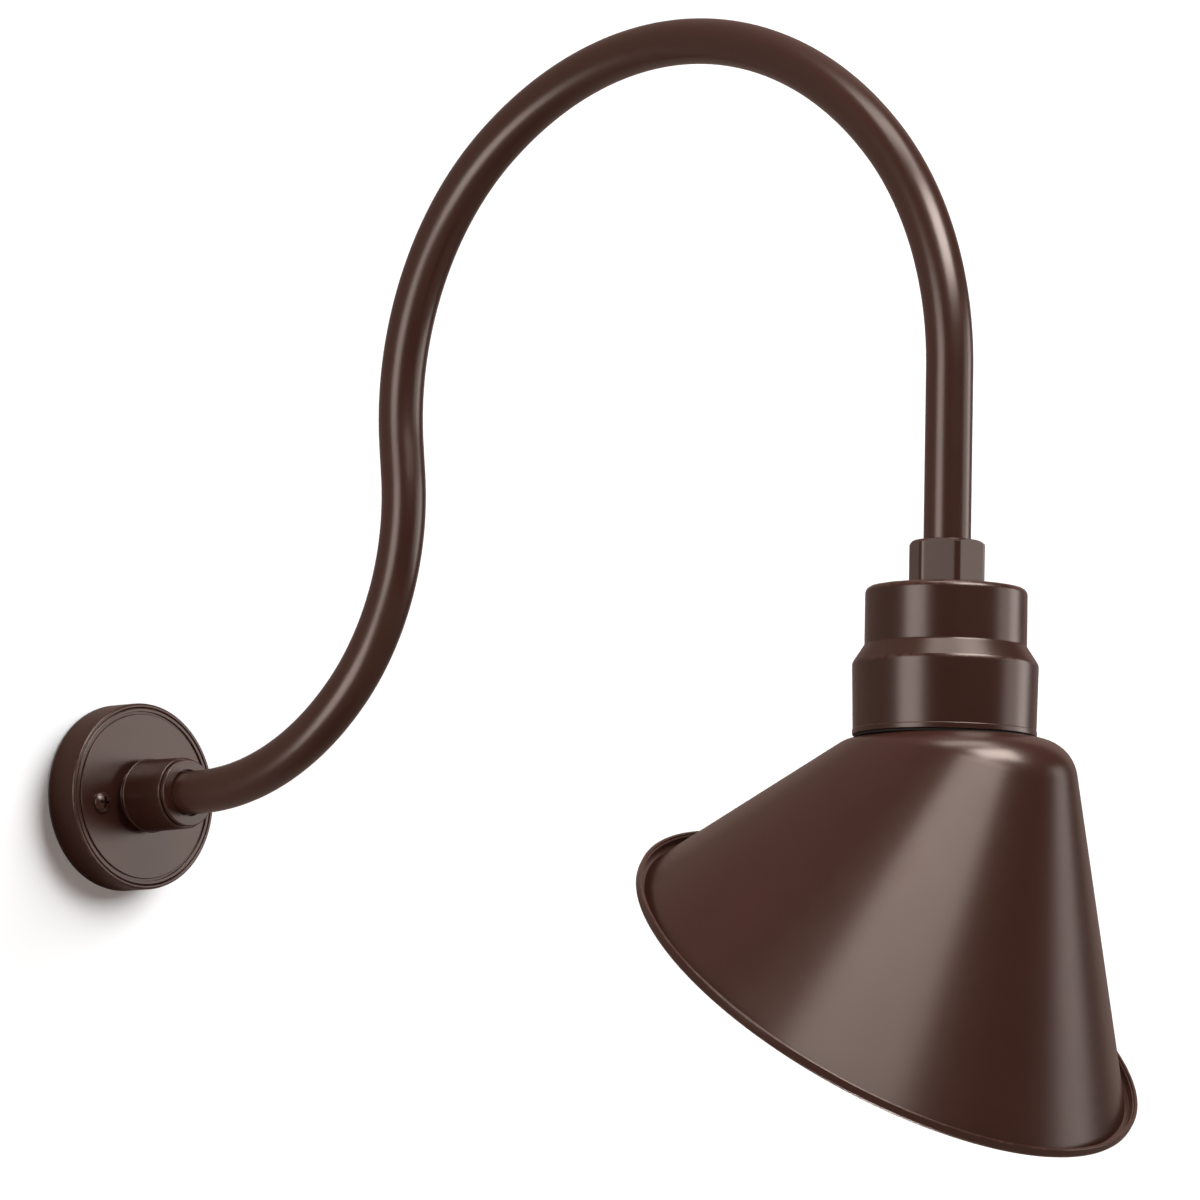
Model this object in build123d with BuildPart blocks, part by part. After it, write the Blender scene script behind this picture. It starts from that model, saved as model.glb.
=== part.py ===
from build123d import *
import os
from math import cos, radians, sin, sqrt, tan

# Gooseneck wall sconce, in millimetres. +Z is up, the wall is the plane Y = 0 and -Y points into
# the room. The origin is the centre of the wall plate, on the wall. The arm lies in the plane X = 0.

os.makedirs("parts", exist_ok=True)

# ---------------------------------------------------------------- driving dimensions: wall end
plate_diameter = 115.0        # round wall plate
plate_front = 24.2            # front face of the plate, from the wall
plate_wall = 3.4              # wall thickness of the cast plate
plate_edge_round = 1.0        # rounding of the plate's outer front edge
bead_groove_diameter = 109.6  # fine groove that splits the rim into two beads
bead_groove_width = 0.6
bead_groove_depth = 0.4
face_groove_diameter = 103.4  # deeper groove between the rim and the flat face
face_groove_width = 1.3
face_groove_depth = 1.0
gasket_thickness = 1.6        # foam ring between the plate and the wall
gasket_width = 3.8
gasket_inset = 0.5            # the foam stops short of the plate's edge
boss_diameter = 38.0          # raised seat for the hub in the middle of the plate
boss_height = 5.8
screw_boss_diameter = 13.0    # bosses behind the plate, round the canopy screws
screw_boss_depth = 8.0

bracket_thickness = 1.9       # steel crossbar on the wall box
bracket_width = 34.0
bracket_gap = 0.7             # radial gap between the crossbar's ends and the foam ring
box_screw_spacing = 88.9      # slots for the wall box's own screws
box_slot_length = 10.0
box_slot_width = 5.2
supply_hole_diameter = 15.0
ground_screw_drop = 12.5      # ground screw below the centre
ground_screw_diameter = 4.6
ground_washer_diameter = 9.2
ground_head_corner = 7.4      # across the corners of its hexagon head
ground_head_height = 1.15     # height of the washer face, and of the hexagon on it
canopy_screw_spacing = 69.85  # the two screws that hold the plate on the crossbar
canopy_screw_turn = 10.5      # the pair is turned this far from the horizontal, in degrees
canopy_screw_diameter = 6.3
canopy_head_diameter = 12.8
canopy_head_height = 3.6
canopy_head_edge = 1.5        # straight side of the pan head, below its dome
canopy_screw_end = 0.3        # the screw's tip stops this far from the wall plane
recess_span = 6.6             # cross recess in the screw head
recess_slot = 1.5
recess_depth = 2.2

hub_diameter = 45.9           # barrel of the hub at the plate
hub_front_diameter = 43.7     # the cast barrel narrows to this at its front edge
hub_barrel = 32.5             # length of the barrel
hub_base_chamfer = 0.8
hub_groove_depth = 0.9        # step behind the hub's front ring
hub_groove_width = 1.2
hub_ring_diameter = 41.4      # front ring
hub_ring_length = 2.1
hub_mouth_diameter = 29.4     # wider mouth round the pipe
hub_mouth_depth = 3.0
arm_seat_depth = 4.0          # the pipe's end stands this far in front of the hub's base
spigot_diameter = 29.8        # threaded tail of the hub, through the plate
spigot_past_nut = 1.0
locknut_across_flats = 38.0
locknut_thickness = 4.0
set_screw_diameter = 6.0
set_screw_length = 7.6
set_screw_socket = 3.0        # across flats of its hexagon socket
set_screw_socket_depth = 3.0
set_screw_out = 18.0          # set screw, in front of the hub's base

# ---------------------------------------------------------------- driving dimensions: arm
pipe_diameter = 26.67
pipe_wall = 2.87
hub_straight = 75.7           # the first bend starts this far from the wall
rise_radius = 188.0           # first bend, from the hub upwards
rise_angle = 45.0
waist_radius = 154.0          # second bend, carries on past the vertical
waist_angle = 51.4
waist_run = 19.4              # short straight between the two opposite curves
back_radius = 186.0           # loop: the side nearer the wall
back_angle = 60.6
crown_radius = 245.0          # loop: over the top
crown_angle = 82.6
front_radius = 197.0          # loop: the side above the shade turns down to the vertical
stem_run = 138.3              # straight stem, from the loop to the pipe's end

# ---------------------------------------------------------------- driving dimensions: head
stem_engagement = 14.0        # pipe inside the socket housing
nut_across_flats = 38.4
nut_height = 26.2
nut_chamfer = 1.6
housing_top_diameter = 91.0
housing_lower_diameter = 104.5
housing_foot_diameter = 103.4
housing_height = 83.5
housing_skirt = 40.4          # height of the lower tier
housing_shoulder = 10.4       # height of the sloping step between the tiers
housing_wall = 3.5
housing_top_wall = 4.0
housing_top_round = 3.8
housing_foot_round = 0.8
stem_boss_wall = 5.6          # wall of the threaded boss round the pipe
stem_boss_depth = 16.0
post_circle = 70.0            # three screw posts for the shade, on this circle
post_diameter = 9.0
post_height = 16.0
post_rib = 4.0
bracket_post_spacing = 66.0   # two hanging posts for the lampholder's bracket
bracket_post_diameter = 9.0

seal_thickness = 1.5          # black ring between the housing and the shade
seal_outer_diameter = 88.0
crown_hole_diameter = 55.0
clamp_screw_count = 3
clamp_screw_diameter = 4.0
clamp_screw_grip = 11.0       # thread in the post
clamp_head_diameter = 7.6
clamp_head_height = 2.6
clamp_ring_thickness = 2.5
clamp_ring_diameter = 83.0

shade_thickness = 1.4
mouth_tilt = 36.9             # the mouth's plane against the horizontal, in degrees
crown_cone_radius = 49.0      # radius of the cone where its axis meets the level of the crown
crown_axis_offset = 41.0      # that point lies this far from the stem's axis, away from the wall
cone_mouth_radius = 150.9     # outside of the cone, at the mouth's plane
cone_half_angle = 31.83
cone_lean = 6.31              # the cone leans this far from the mouth's normal, towards the wall
shoulder_radius = 27.0
rim_reach = 5.1               # the rim stands out this far past the cone
rim_corner_round = 2.5        # outer lower corner of the rim
lip_height = 6.2              # turned-up lip
hem_width = 3.5               # rolled hem along the top of the lip
hem_height = 3.2
hem_round = 0.6

# ---------------------------------------------------------------- driving dimensions: lampholder, lamp
holder_bracket_drop = 29.0    # top of the lampholder's bracket, below the housing's top
holder_bracket_thickness = 2.0
holder_bracket_width = 16.0
holder_bracket_length = 78.0
bracket_screw_diameter = 3.5
bracket_screw_grip = 12.0
small_head_height = 2.2
small_head_ratio = 1.95       # head diameter of the small screws, against the thread
holder_diameter = 39.0
holder_flange_diameter = 44.0
holder_flange_height = 12.0
holder_height = 42.0
holder_floor = 12.0           # solid porcelain above the screw shell
holder_screw_spacing = 22.0
holder_screw_grip = 7.0
shell_wall = 0.4
shell_length = 25.0
shell_inset = 2.0             # the shell starts this far inside the porcelain
thread_turns = 6
thread_depth = 0.45
cap_diameter = 26.0           # lamp's screw cap
cap_wall = 0.4
cap_clearance = 0.3
cap_length = 23.0
contact_width = 6.0           # centre contact: a bent brass tongue under the porcelain floor
contact_thickness = 0.5
contact_reach = 9.0
contact_bend = 3.5            # the tongue bends down this far from the centre
contact_tip = 3.0             # and ends this far on the other side of it
contact_drop = 2.7
terminal_screw_diameter = 3.0
terminal_screw_grip = 6.0
terminal_drop = 4.8           # terminal screws, below the top of the porcelain

lamp_length = 110.0
lamp_diameter = 60.0
lamp_body_diameter = 55.0     # plastic body where it meets the diffuser
lamp_body_length = 38.0
lamp_neck_diameter = 27.0
lamp_neck_length = 12.0       # part of the body inside the cap
lamp_body_wall = 1.6
diffuser_wall = 1.2
collar_height = 3.0           # collar of the diffuser inside the body
board_thickness = 1.2
button_diameter = 9.0         # centre contact of the lamp
button_height = 2.0
button_round = 0.6
insulator_diameter = 24.0
insulator_top_diameter = 11.0
insulator_height = 2.0
cap_opening_diameter = 18.0   # hole in the cap's top, under the insulator

# ---------------------------------------------------------------- driving dimensions: wiring
cable_diameter = 8.0
cable_past_stem = 3.0         # the sheath ends this far below the pipe
lead_diameter = 2.3
lead_bend = 5.5
lead_plane_from_wall = 8.2    # the splices lie in this plane behind the plate
splice_radius = 24.0          # the twist-on connectors start this far from the centre
splice_angles = [40.0, 140.0]
connector_length = 20.0
connector_mouth_diameter = 11.0
connector_tip_diameter = 7.0
bushing_flange = 1.6
bushing_depth = 6.0
bushing_flange_diameter = 24.0
lead_circle = 1.9             # the three cores lie on this radius inside the sheath
lead_in_connector = 10.0
socket_lead_bend = 5.0
socket_lead_drop = 1.5        # straight piece below the sheath's end
socket_lead_tail = 2.0        # the lead's end, below the terminal screw
ground_lead_tail = 3.0        # the lead's end, below the ground screw

# ---------------------------------------------------------------- clearances
running_fit = 0.065           # radial, between parts that turn on each other
screw_fit = 0.05              # radial, between a screw and its thread
slip_fit = 0.1                # radial, between parts that stay put
free_gap = 0.3                # between faces that move past each other

# ---------------------------------------------------------------- sizes worked out from the above
plate_radius = plate_diameter / 2
pipe_radius = pipe_diameter / 2
pipe_bore_radius = pipe_radius - pipe_wall
lead_radius = lead_diameter / 2
cable_radius = cable_diameter / 2
plate_inner_face = plate_front - plate_wall
hub_base = plate_front + boss_height
hub_edge = hub_base + hub_barrel
hub_front = hub_edge + hub_groove_width + hub_ring_length
arm_start = hub_base + arm_seat_depth
spigot_radius = spigot_diameter / 2
spigot_end = plate_inner_face - locknut_thickness - spigot_past_nut
front_angle = 90 + rise_angle + waist_angle - back_angle - crown_angle


def arm_line(start, past_foot):
    """Centreline of the arm in the plane X = 0: straight runs joined by tangent arcs."""
    with BuildLine(Plane.YZ) as line:
        run = Line((-start, 0), (-hub_straight, 0))
        run = JernArc(run @ 1, run % 1, rise_radius, -rise_angle)
        run = JernArc(run @ 1, run % 1, waist_radius, -waist_angle)
        run = Line(run @ 1, run @ 1 + (run % 1) * waist_run)
        run = JernArc(run @ 1, run % 1, back_radius, back_angle)
        run = JernArc(run @ 1, run % 1, crown_radius, crown_angle)
        run = JernArc(run @ 1, run % 1, front_radius, front_angle)
        Line(run @ 1, run @ 1 + (run % 1) * (stem_run + past_foot))
    return line


arm_path = arm_line(arm_start, 0)
arm_foot = arm_path.line @ 1
reach = -arm_foot.Y                          # stem axis, from the wall
stem_foot = arm_foot.Z
stem_axis = Axis((0, -reach, 0), (0, 0, 1))
stem_plane = Plane.XZ.offset(reach)          # x is X and y is Z, on the stem's axis
housing_top = stem_foot + stem_engagement
housing_foot = housing_top - housing_height
crown_top = housing_foot - seal_thickness    # outside of the shade's flat crown
crown_under = crown_top - shade_thickness
holder_bracket_top = housing_top - holder_bracket_drop
holder_top = holder_bracket_top - holder_bracket_thickness
holder_foot = holder_top - holder_height


def level(height):
    """Horizontal plane at a height, centred on the stem's axis."""
    return Plane(origin=(0, -reach, height))


def wall_plane(distance):
    """Plane parallel to the wall, x is X and y is Z, facing the room."""
    return Plane.XZ.offset(distance)


def save(builder, name):
    builder.part.label = name
    export_step(builder.part, f"parts/{name}.step")


# ================================================================ wall end
# Foam ring under the plate's rim.
with BuildPart() as wall_gasket:
    with BuildSketch(wall_plane(0)):
        Circle(plate_radius - gasket_inset)
        Circle(plate_radius - gasket_inset - gasket_width, mode=Mode.SUBTRACT)
    extrude(amount=gasket_thickness)
save(wall_gasket, "wall_gasket")

canopy_screw_places = PolarLocations(canopy_screw_spacing / 2, 2, start_angle=canopy_screw_turn)

# Steel crossbar with slots for the wall box's screws and threaded holes for the plate's screws.
ground_screw_place = (ground_screw_diameter / 2 + lead_radius + screw_fit, -ground_screw_drop)
bracket_end_radius = plate_radius - gasket_inset - gasket_width - bracket_gap
with BuildPart() as mounting_bracket:
    with BuildSketch(wall_plane(0)):
        Circle(bracket_end_radius)
        Rectangle(plate_diameter, bracket_width, mode=Mode.INTERSECT)
        Circle(supply_hole_diameter / 2, mode=Mode.SUBTRACT)
        with GridLocations(box_screw_spacing, 0, 2, 1):
            SlotOverall(box_slot_length, box_slot_width, mode=Mode.SUBTRACT)
        with canopy_screw_places:
            Circle(canopy_screw_diameter / 2 + screw_fit, mode=Mode.SUBTRACT)
        with Locations(ground_screw_place):
            Circle(ground_screw_diameter / 2 + screw_fit, mode=Mode.SUBTRACT)
    extrude(amount=bracket_thickness)
save(mounting_bracket, "mounting_bracket")

# Cast plate: a shallow cup with two beads round its front edge and a seat for the hub.
bead_groove_radius = bead_groove_diameter / 2
face_groove_radius = face_groove_diameter / 2
boss_radius = boss_diameter / 2
with BuildPart() as wall_plate:
    with BuildSketch():
        with BuildLine():
            Polyline(
                (plate_radius, -gasket_thickness),
                (plate_radius, -plate_front),
                (bead_groove_radius + bead_groove_width / 2, -plate_front),
                (bead_groove_radius, -plate_front + bead_groove_depth),
                (bead_groove_radius - bead_groove_width / 2, -plate_front),
                (face_groove_radius + face_groove_width / 2, -plate_front),
                (face_groove_radius + face_groove_width / 2, -plate_front + face_groove_depth),
                (face_groove_radius - face_groove_width / 2, -plate_front + face_groove_depth),
                (face_groove_radius - face_groove_width / 2, -plate_front),
                (boss_radius, -plate_front),
                (boss_radius, -hub_base),
                (spigot_radius + slip_fit, -hub_base),
                (spigot_radius + slip_fit, -plate_inner_face),
                (plate_radius - plate_wall, -plate_inner_face),
                (plate_radius - plate_wall, -gasket_thickness),
                close=True,
            )
        make_face()
    revolve(axis=Axis.Y)
    outer_edge = edges().filter_by(GeomType.CIRCLE).group_by(SortBy.RADIUS)[-1].sort_by(Axis.Y)[0]
    fillet(outer_edge, plate_edge_round)
    with BuildSketch(wall_plane(plate_inner_face - screw_boss_depth)):
        with canopy_screw_places:
            Circle(screw_boss_diameter / 2)
    extrude(amount=screw_boss_depth)
    with BuildSketch(wall_plane(plate_inner_face - screw_boss_depth)):
        with canopy_screw_places:
            Circle(canopy_screw_diameter / 2 + free_gap)
    extrude(amount=screw_boss_depth + plate_wall, mode=Mode.SUBTRACT)
save(wall_plate, "wall_plate")


def headed_screw(thread, length, head, head_height, edge, recess, slot, depth):
    """Pan-head screw with a cross recess, along +Z, head up, its seat at the origin."""
    rise = head_height - edge
    dome_radius = ((head / 2) ** 2 + rise**2) / (2 * rise)
    halfway = head / 4
    dome_height = head_height - dome_radius + sqrt(dome_radius**2 - halfway**2)
    with BuildPart() as screw:
        with BuildSketch(Plane.XZ):
            with BuildLine():
                side = Polyline((0, -length), (thread / 2, -length), (thread / 2, 0), (head / 2, 0),
                                (head / 2, edge))
                dome = ThreePointArc(side @ 1, (halfway, dome_height), (0, head_height))
                Line(dome @ 1, side @ 0)
            make_face()
        revolve(axis=Axis.Z)
        with BuildSketch(Plane.XY.offset(head_height)):
            Rectangle(recess, slot)
            Rectangle(slot, recess)
        extrude(amount=-depth, mode=Mode.SUBTRACT)
    return screw.part


def small_screw(thread, length):
    """Small pan-head screw inside the fitting."""
    head = thread * small_head_ratio
    return headed_screw(thread, length, head, small_head_height, small_head_height / 2,
                        thread, thread / 4, small_head_height / 2)


# The two screws seen on the face of the plate.
canopy_screw = headed_screw(
    canopy_screw_diameter, plate_front - canopy_screw_end, canopy_head_diameter,
    canopy_head_height, canopy_head_edge, recess_span, recess_slot, recess_depth,
)
with BuildPart(wall_plane(plate_front)) as canopy_screws:
    with PolarLocations(canopy_screw_spacing / 2, 2, start_angle=canopy_screw_turn):
        add(canopy_screw)
save(canopy_screws, "canopy_screws")

# Green ground screw: hexagon head on a washer face, clamping the lead against the crossbar.
washer_seat = bracket_thickness + lead_diameter + screw_fit
with BuildPart() as ground_screw:
    with BuildSketch(wall_plane(canopy_screw_end)):
        with Locations(ground_screw_place):
            Circle(ground_screw_diameter / 2)
    extrude(amount=washer_seat - canopy_screw_end)
    with BuildSketch(wall_plane(washer_seat)):
        with Locations(ground_screw_place):
            Circle(ground_washer_diameter / 2)
    extrude(amount=ground_head_height)
    with BuildSketch(wall_plane(washer_seat + ground_head_height)):
        with Locations(ground_screw_place):
            RegularPolygon(ground_head_corner / 2, 6)
    extrude(amount=ground_head_height)
save(ground_screw, "ground_screw")

# Hub: barrel, stepped front ring, bore for the pipe and a threaded tail through the plate.
hub_radius = hub_diameter / 2
hub_front_radius = hub_front_diameter / 2
hub_ring_radius = hub_ring_diameter / 2
arm_bore_radius = pipe_radius + slip_fit
with BuildPart() as arm_hub:
    with BuildSketch():
        with BuildLine():
            Polyline(
                (pipe_bore_radius, -spigot_end),
                (spigot_radius, -spigot_end),
                (spigot_radius, -hub_base),
                (hub_radius - hub_base_chamfer, -hub_base),
                (hub_radius, -hub_base - hub_base_chamfer),
                (hub_front_radius, -hub_edge),
                (hub_ring_radius - hub_groove_depth, -hub_edge),
                (hub_ring_radius - hub_groove_depth, -hub_edge - hub_groove_width),
                (hub_ring_radius, -hub_edge - hub_groove_width),
                (hub_ring_radius, -hub_front),
                (hub_mouth_diameter / 2, -hub_front),
                (hub_mouth_diameter / 2, -hub_front + hub_mouth_depth),
                (arm_bore_radius, -hub_front + hub_mouth_depth),
                (arm_bore_radius, -arm_start),
                (pipe_bore_radius, -arm_start),
                close=True,
            )
        make_face()
    revolve(axis=Axis.Y)
    with BuildSketch(Plane.YZ):
        with Locations((-hub_base - set_screw_out, 0)):
            Circle(set_screw_diameter / 2 + screw_fit)
    extrude(amount=hub_diameter, mode=Mode.SUBTRACT)
save(arm_hub, "arm_hub")

# Locknut on the hub's tail, inside the plate.
with BuildPart() as hub_locknut:
    with BuildSketch(wall_plane(plate_inner_face - locknut_thickness)):
        RegularPolygon(locknut_across_flats / 2, 6, major_radius=False)
        Circle(spigot_radius + screw_fit, mode=Mode.SUBTRACT)
    extrude(amount=locknut_thickness)
save(hub_locknut, "hub_locknut")

# Set screw in the side of the hub that keeps the pipe from turning.
with BuildPart() as hub_set_screw:
    with BuildSketch(Plane.YZ.offset(arm_bore_radius)):
        with Locations((-hub_base - set_screw_out, 0)):
            Circle(set_screw_diameter / 2)
    extrude(amount=set_screw_length)
    with BuildSketch(Plane.YZ.offset(arm_bore_radius + set_screw_length - set_screw_socket_depth)):
        with Locations((-hub_base - set_screw_out, 0)):
            RegularPolygon(set_screw_socket / 2, 6, major_radius=False)
    extrude(amount=set_screw_socket_depth, mode=Mode.SUBTRACT)
save(hub_set_screw, "hub_set_screw")

# ================================================================ arm
with BuildPart() as gooseneck_arm:
    with BuildSketch(wall_plane(arm_start)):
        Circle(pipe_radius)
        Circle(pipe_bore_radius, mode=Mode.SUBTRACT)
    sweep(path=arm_path.wire())
save(gooseneck_arm, "gooseneck_arm")

# ================================================================ socket housing and its nut
# Tall hexagon nut that locks the head on the stem; its corners lie on the X axis.
nut_foot = housing_top + free_gap
nut_corner_radius = nut_across_flats / 2 / cos(radians(30))
with BuildPart() as stem_nut:
    with BuildSketch(level(nut_foot)):
        RegularPolygon(nut_corner_radius, 6)
        Circle(pipe_radius + running_fit, mode=Mode.SUBTRACT)
    extrude(amount=nut_height)
    with BuildSketch(stem_plane):
        with BuildLine():
            Polyline(
                (nut_corner_radius - 2 * nut_chamfer, nut_foot + nut_height),
                (nut_corner_radius + nut_chamfer, nut_foot + nut_height - 1.5 * nut_chamfer),
                (nut_corner_radius + nut_chamfer, nut_foot + nut_height),
                close=True,
            )
        make_face()
    revolve(axis=stem_axis, mode=Mode.SUBTRACT)
save(stem_nut, "stem_nut")

# Cast housing in two tiers, open at the bottom.
stem_bore_radius = pipe_radius + running_fit
top_radius = housing_top_diameter / 2
lower_radius = housing_lower_diameter / 2
foot_radius = housing_foot_diameter / 2
skirt_top = housing_foot + housing_skirt
shoulder_top = skirt_top + housing_shoulder
post_places = PolarLocations(post_circle / 2, clamp_screw_count, start_angle=90)
with BuildPart() as housing:
    with BuildSketch(stem_plane):
        with BuildLine():
            Polyline(
                (stem_bore_radius, housing_top),
                (top_radius, housing_top),
                (top_radius, shoulder_top),
                (lower_radius, skirt_top),
                (foot_radius, housing_foot),
                (foot_radius - housing_wall, housing_foot),
                (lower_radius - housing_wall, skirt_top - housing_wall / 2),
                (top_radius - housing_wall, shoulder_top - housing_wall / 2),
                (top_radius - housing_wall, housing_top - housing_top_wall),
                (stem_bore_radius + stem_boss_wall, housing_top - housing_top_wall),
                (stem_bore_radius + stem_boss_wall, housing_top - stem_boss_depth),
                (stem_bore_radius, housing_top - stem_boss_depth),
                close=True,
            )
        make_face()
    revolve(axis=stem_axis)
    rims = edges().filter_by(GeomType.CIRCLE)
    fillet(rims.filter_by(lambda edge: edge.radius == top_radius).sort_by(Axis.Z)[-1], housing_top_round)
    foot_edge = edges().filter_by(GeomType.CIRCLE).group_by(Axis.Z)[0].sort_by(SortBy.RADIUS)[-1]
    fillet(foot_edge, housing_foot_round)
    # screw posts for the shade, ribbed to the skirt
    with BuildSketch(level(housing_foot)):
        with post_places:
            Circle(post_diameter / 2)
        with PolarLocations((post_circle / 2 + foot_radius - housing_wall / 2) / 2, clamp_screw_count,
                            start_angle=90):
            Rectangle(foot_radius - housing_wall / 2 - post_circle / 2, post_rib)
    extrude(amount=post_height)
    with BuildSketch(level(housing_foot)):
        with post_places:
            Circle(clamp_screw_diameter / 2 + screw_fit)
    extrude(amount=clamp_screw_grip + free_gap, mode=Mode.SUBTRACT)
    # hanging posts for the lampholder's bracket
    with BuildSketch(level(holder_bracket_top)):
        with GridLocations(bracket_post_spacing, 0, 2, 1):
            Circle(bracket_post_diameter / 2)
    extrude(amount=holder_bracket_drop - housing_top_wall)
    with BuildSketch(level(holder_bracket_top)):
        with GridLocations(bracket_post_spacing, 0, 2, 1):
            Circle(bracket_screw_diameter / 2 + screw_fit)
    extrude(amount=bracket_screw_grip + free_gap, mode=Mode.SUBTRACT)
save(housing, "housing")

# ================================================================ shade and how it is held
# Black ring between the housing and the shade's crown.
with BuildPart() as shade_seal:
    with BuildSketch(level(crown_top)):
        Circle(seal_outer_diameter / 2)
        Circle(crown_hole_diameter / 2, mode=Mode.SUBTRACT)
        with post_places:
            Circle(clamp_screw_diameter / 2 + free_gap, mode=Mode.SUBTRACT)
    extrude(amount=seal_thickness)
save(shade_seal, "shade_seal")

# The shade is a leaning cone on a tilted round mouth, cut level at the top and rounded there.
cone_slope = tan(radians(cone_half_angle))
lean_slope = tan(radians(cone_lean))
mouth_normal = Vector(0, -sin(radians(mouth_tilt)), cos(radians(mouth_tilt)))
mouth_rise = Vector(0, cos(radians(mouth_tilt)), sin(radians(mouth_tilt)))
cone_height = (cone_mouth_radius - crown_cone_radius) / cone_slope
cone_top = Vector(0, -reach - crown_axis_offset, crown_top)
mouth_centre = cone_top - (mouth_normal + mouth_rise * lean_slope) * cone_height
mouth_plane = Plane(mouth_centre, x_dir=(1, 0, 0), z_dir=mouth_normal)
mouth_axis = Axis(mouth_plane.origin, mouth_plane.z_dir)
cone_span = cone_mouth_radius / cone_slope
wall_share = shade_thickness / cos(radians(cone_half_angle))


def cone_form(inset, crown, rounding, foot):
    """Solid leaning cone: its wall is drawn in by inset, cut at the crown and rounded there."""
    top = 0.9 * cone_span
    with BuildPart() as form:
        for height in (foot, top):
            ring = mouth_plane.offset(height)
            ring = Plane(ring.origin + mouth_plane.y_dir * lean_slope * height, mouth_plane.x_dir,
                         mouth_plane.z_dir)
            with BuildSketch(ring):
                Circle(cone_mouth_radius - inset - cone_slope * height)
        loft()
        split(bisect_by=level(crown), keep=Keep.BOTTOM)
        fillet(faces().sort_by(Axis.Z)[-1].edges(), rounding)
    return form.part


rim_radius = cone_mouth_radius + rim_reach
gutter_radius = cone_mouth_radius - wall_share - rim_corner_round
with BuildPart() as shade:
    add(cone_form(0, crown_top, shoulder_radius, 0))
    with BuildSketch(Plane(mouth_plane.origin, mouth_plane.x_dir, -mouth_plane.y_dir)):
        with BuildLine():
            Polyline(
                (gutter_radius, 0),
                (rim_radius, 0),
                (rim_radius, lip_height),
                (rim_radius - hem_width, lip_height),
                (rim_radius - hem_width, lip_height - hem_height),
                (rim_radius - shade_thickness, lip_height - hem_height),
                (rim_radius - shade_thickness, shade_thickness),
                (gutter_radius, shade_thickness),
                close=True,
            )
        make_face()
        fillet(vertices().sort_by_distance((rim_radius, 0))[0], rim_corner_round)
        fillet(vertices().sort_by_distance((rim_radius - shade_thickness, shade_thickness))[0],
               rim_corner_round - shade_thickness)
        fillet(vertices().group_by(Axis.Y)[-1], hem_round)
    revolve(axis=mouth_axis)
    add(cone_form(wall_share, crown_under, shoulder_radius - shade_thickness, 0), mode=Mode.SUBTRACT)
    with BuildSketch(level(crown_under)):
        Circle(crown_hole_diameter / 2)
        with post_places:
            Circle(clamp_screw_diameter / 2 + free_gap)
    extrude(amount=shade_thickness, mode=Mode.SUBTRACT)
save(shade, "shade")

# Steel ring under the crown and the three screws that pull the shade up against the housing.
with BuildPart() as clamp_ring:
    with BuildSketch(level(crown_under - clamp_ring_thickness)):
        Circle(clamp_ring_diameter / 2)
        Circle(crown_hole_diameter / 2, mode=Mode.SUBTRACT)
        with post_places:
            Circle(clamp_screw_diameter / 2 + free_gap, mode=Mode.SUBTRACT)
    extrude(amount=clamp_ring_thickness)
save(clamp_ring, "clamp_ring")


def hanging(height):
    """Horizontal plane that faces down, for screws driven from below."""
    return Plane(origin=(0, -reach, height), x_dir=(1, 0, 0), z_dir=(0, 0, -1))


clamp_screw = headed_screw(
    clamp_screw_diameter, housing_foot - crown_under + clamp_ring_thickness + clamp_screw_grip,
    clamp_head_diameter, clamp_head_height, clamp_head_height / 2,
    clamp_screw_diameter, clamp_screw_diameter / 4, clamp_head_height / 2,
)
with BuildPart(hanging(crown_under - clamp_ring_thickness)) as clamp_screws:
    with PolarLocations(post_circle / 2, clamp_screw_count, start_angle=-90):
        add(clamp_screw)
save(clamp_screws, "clamp_screws")

# ================================================================ lampholder
# Steel strip that hangs the lampholder from the housing's two long posts.
with BuildPart() as holder_bracket:
    with BuildSketch(level(holder_top)):
        Rectangle(holder_bracket_length, holder_bracket_width)
        with GridLocations(bracket_post_spacing, 0, 2, 1):
            Circle(bracket_screw_diameter / 2 + free_gap, mode=Mode.SUBTRACT)
        with GridLocations(holder_screw_spacing, 0, 2, 1):
            Circle(bracket_screw_diameter / 2 + free_gap, mode=Mode.SUBTRACT)
    extrude(amount=holder_bracket_thickness)
save(holder_bracket, "holder_bracket")

with BuildPart(hanging(holder_top)) as bracket_screws:
    with GridLocations(bracket_post_spacing, 0, 2, 1):
        add(small_screw(bracket_screw_diameter, holder_bracket_thickness + bracket_screw_grip))
save(bracket_screws, "bracket_screws")

with BuildPart(level(holder_bracket_top)) as holder_screws:
    with GridLocations(holder_screw_spacing, 0, 2, 1):
        add(small_screw(bracket_screw_diameter, holder_bracket_thickness + holder_screw_grip))
save(holder_screws, "holder_screws")

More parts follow.
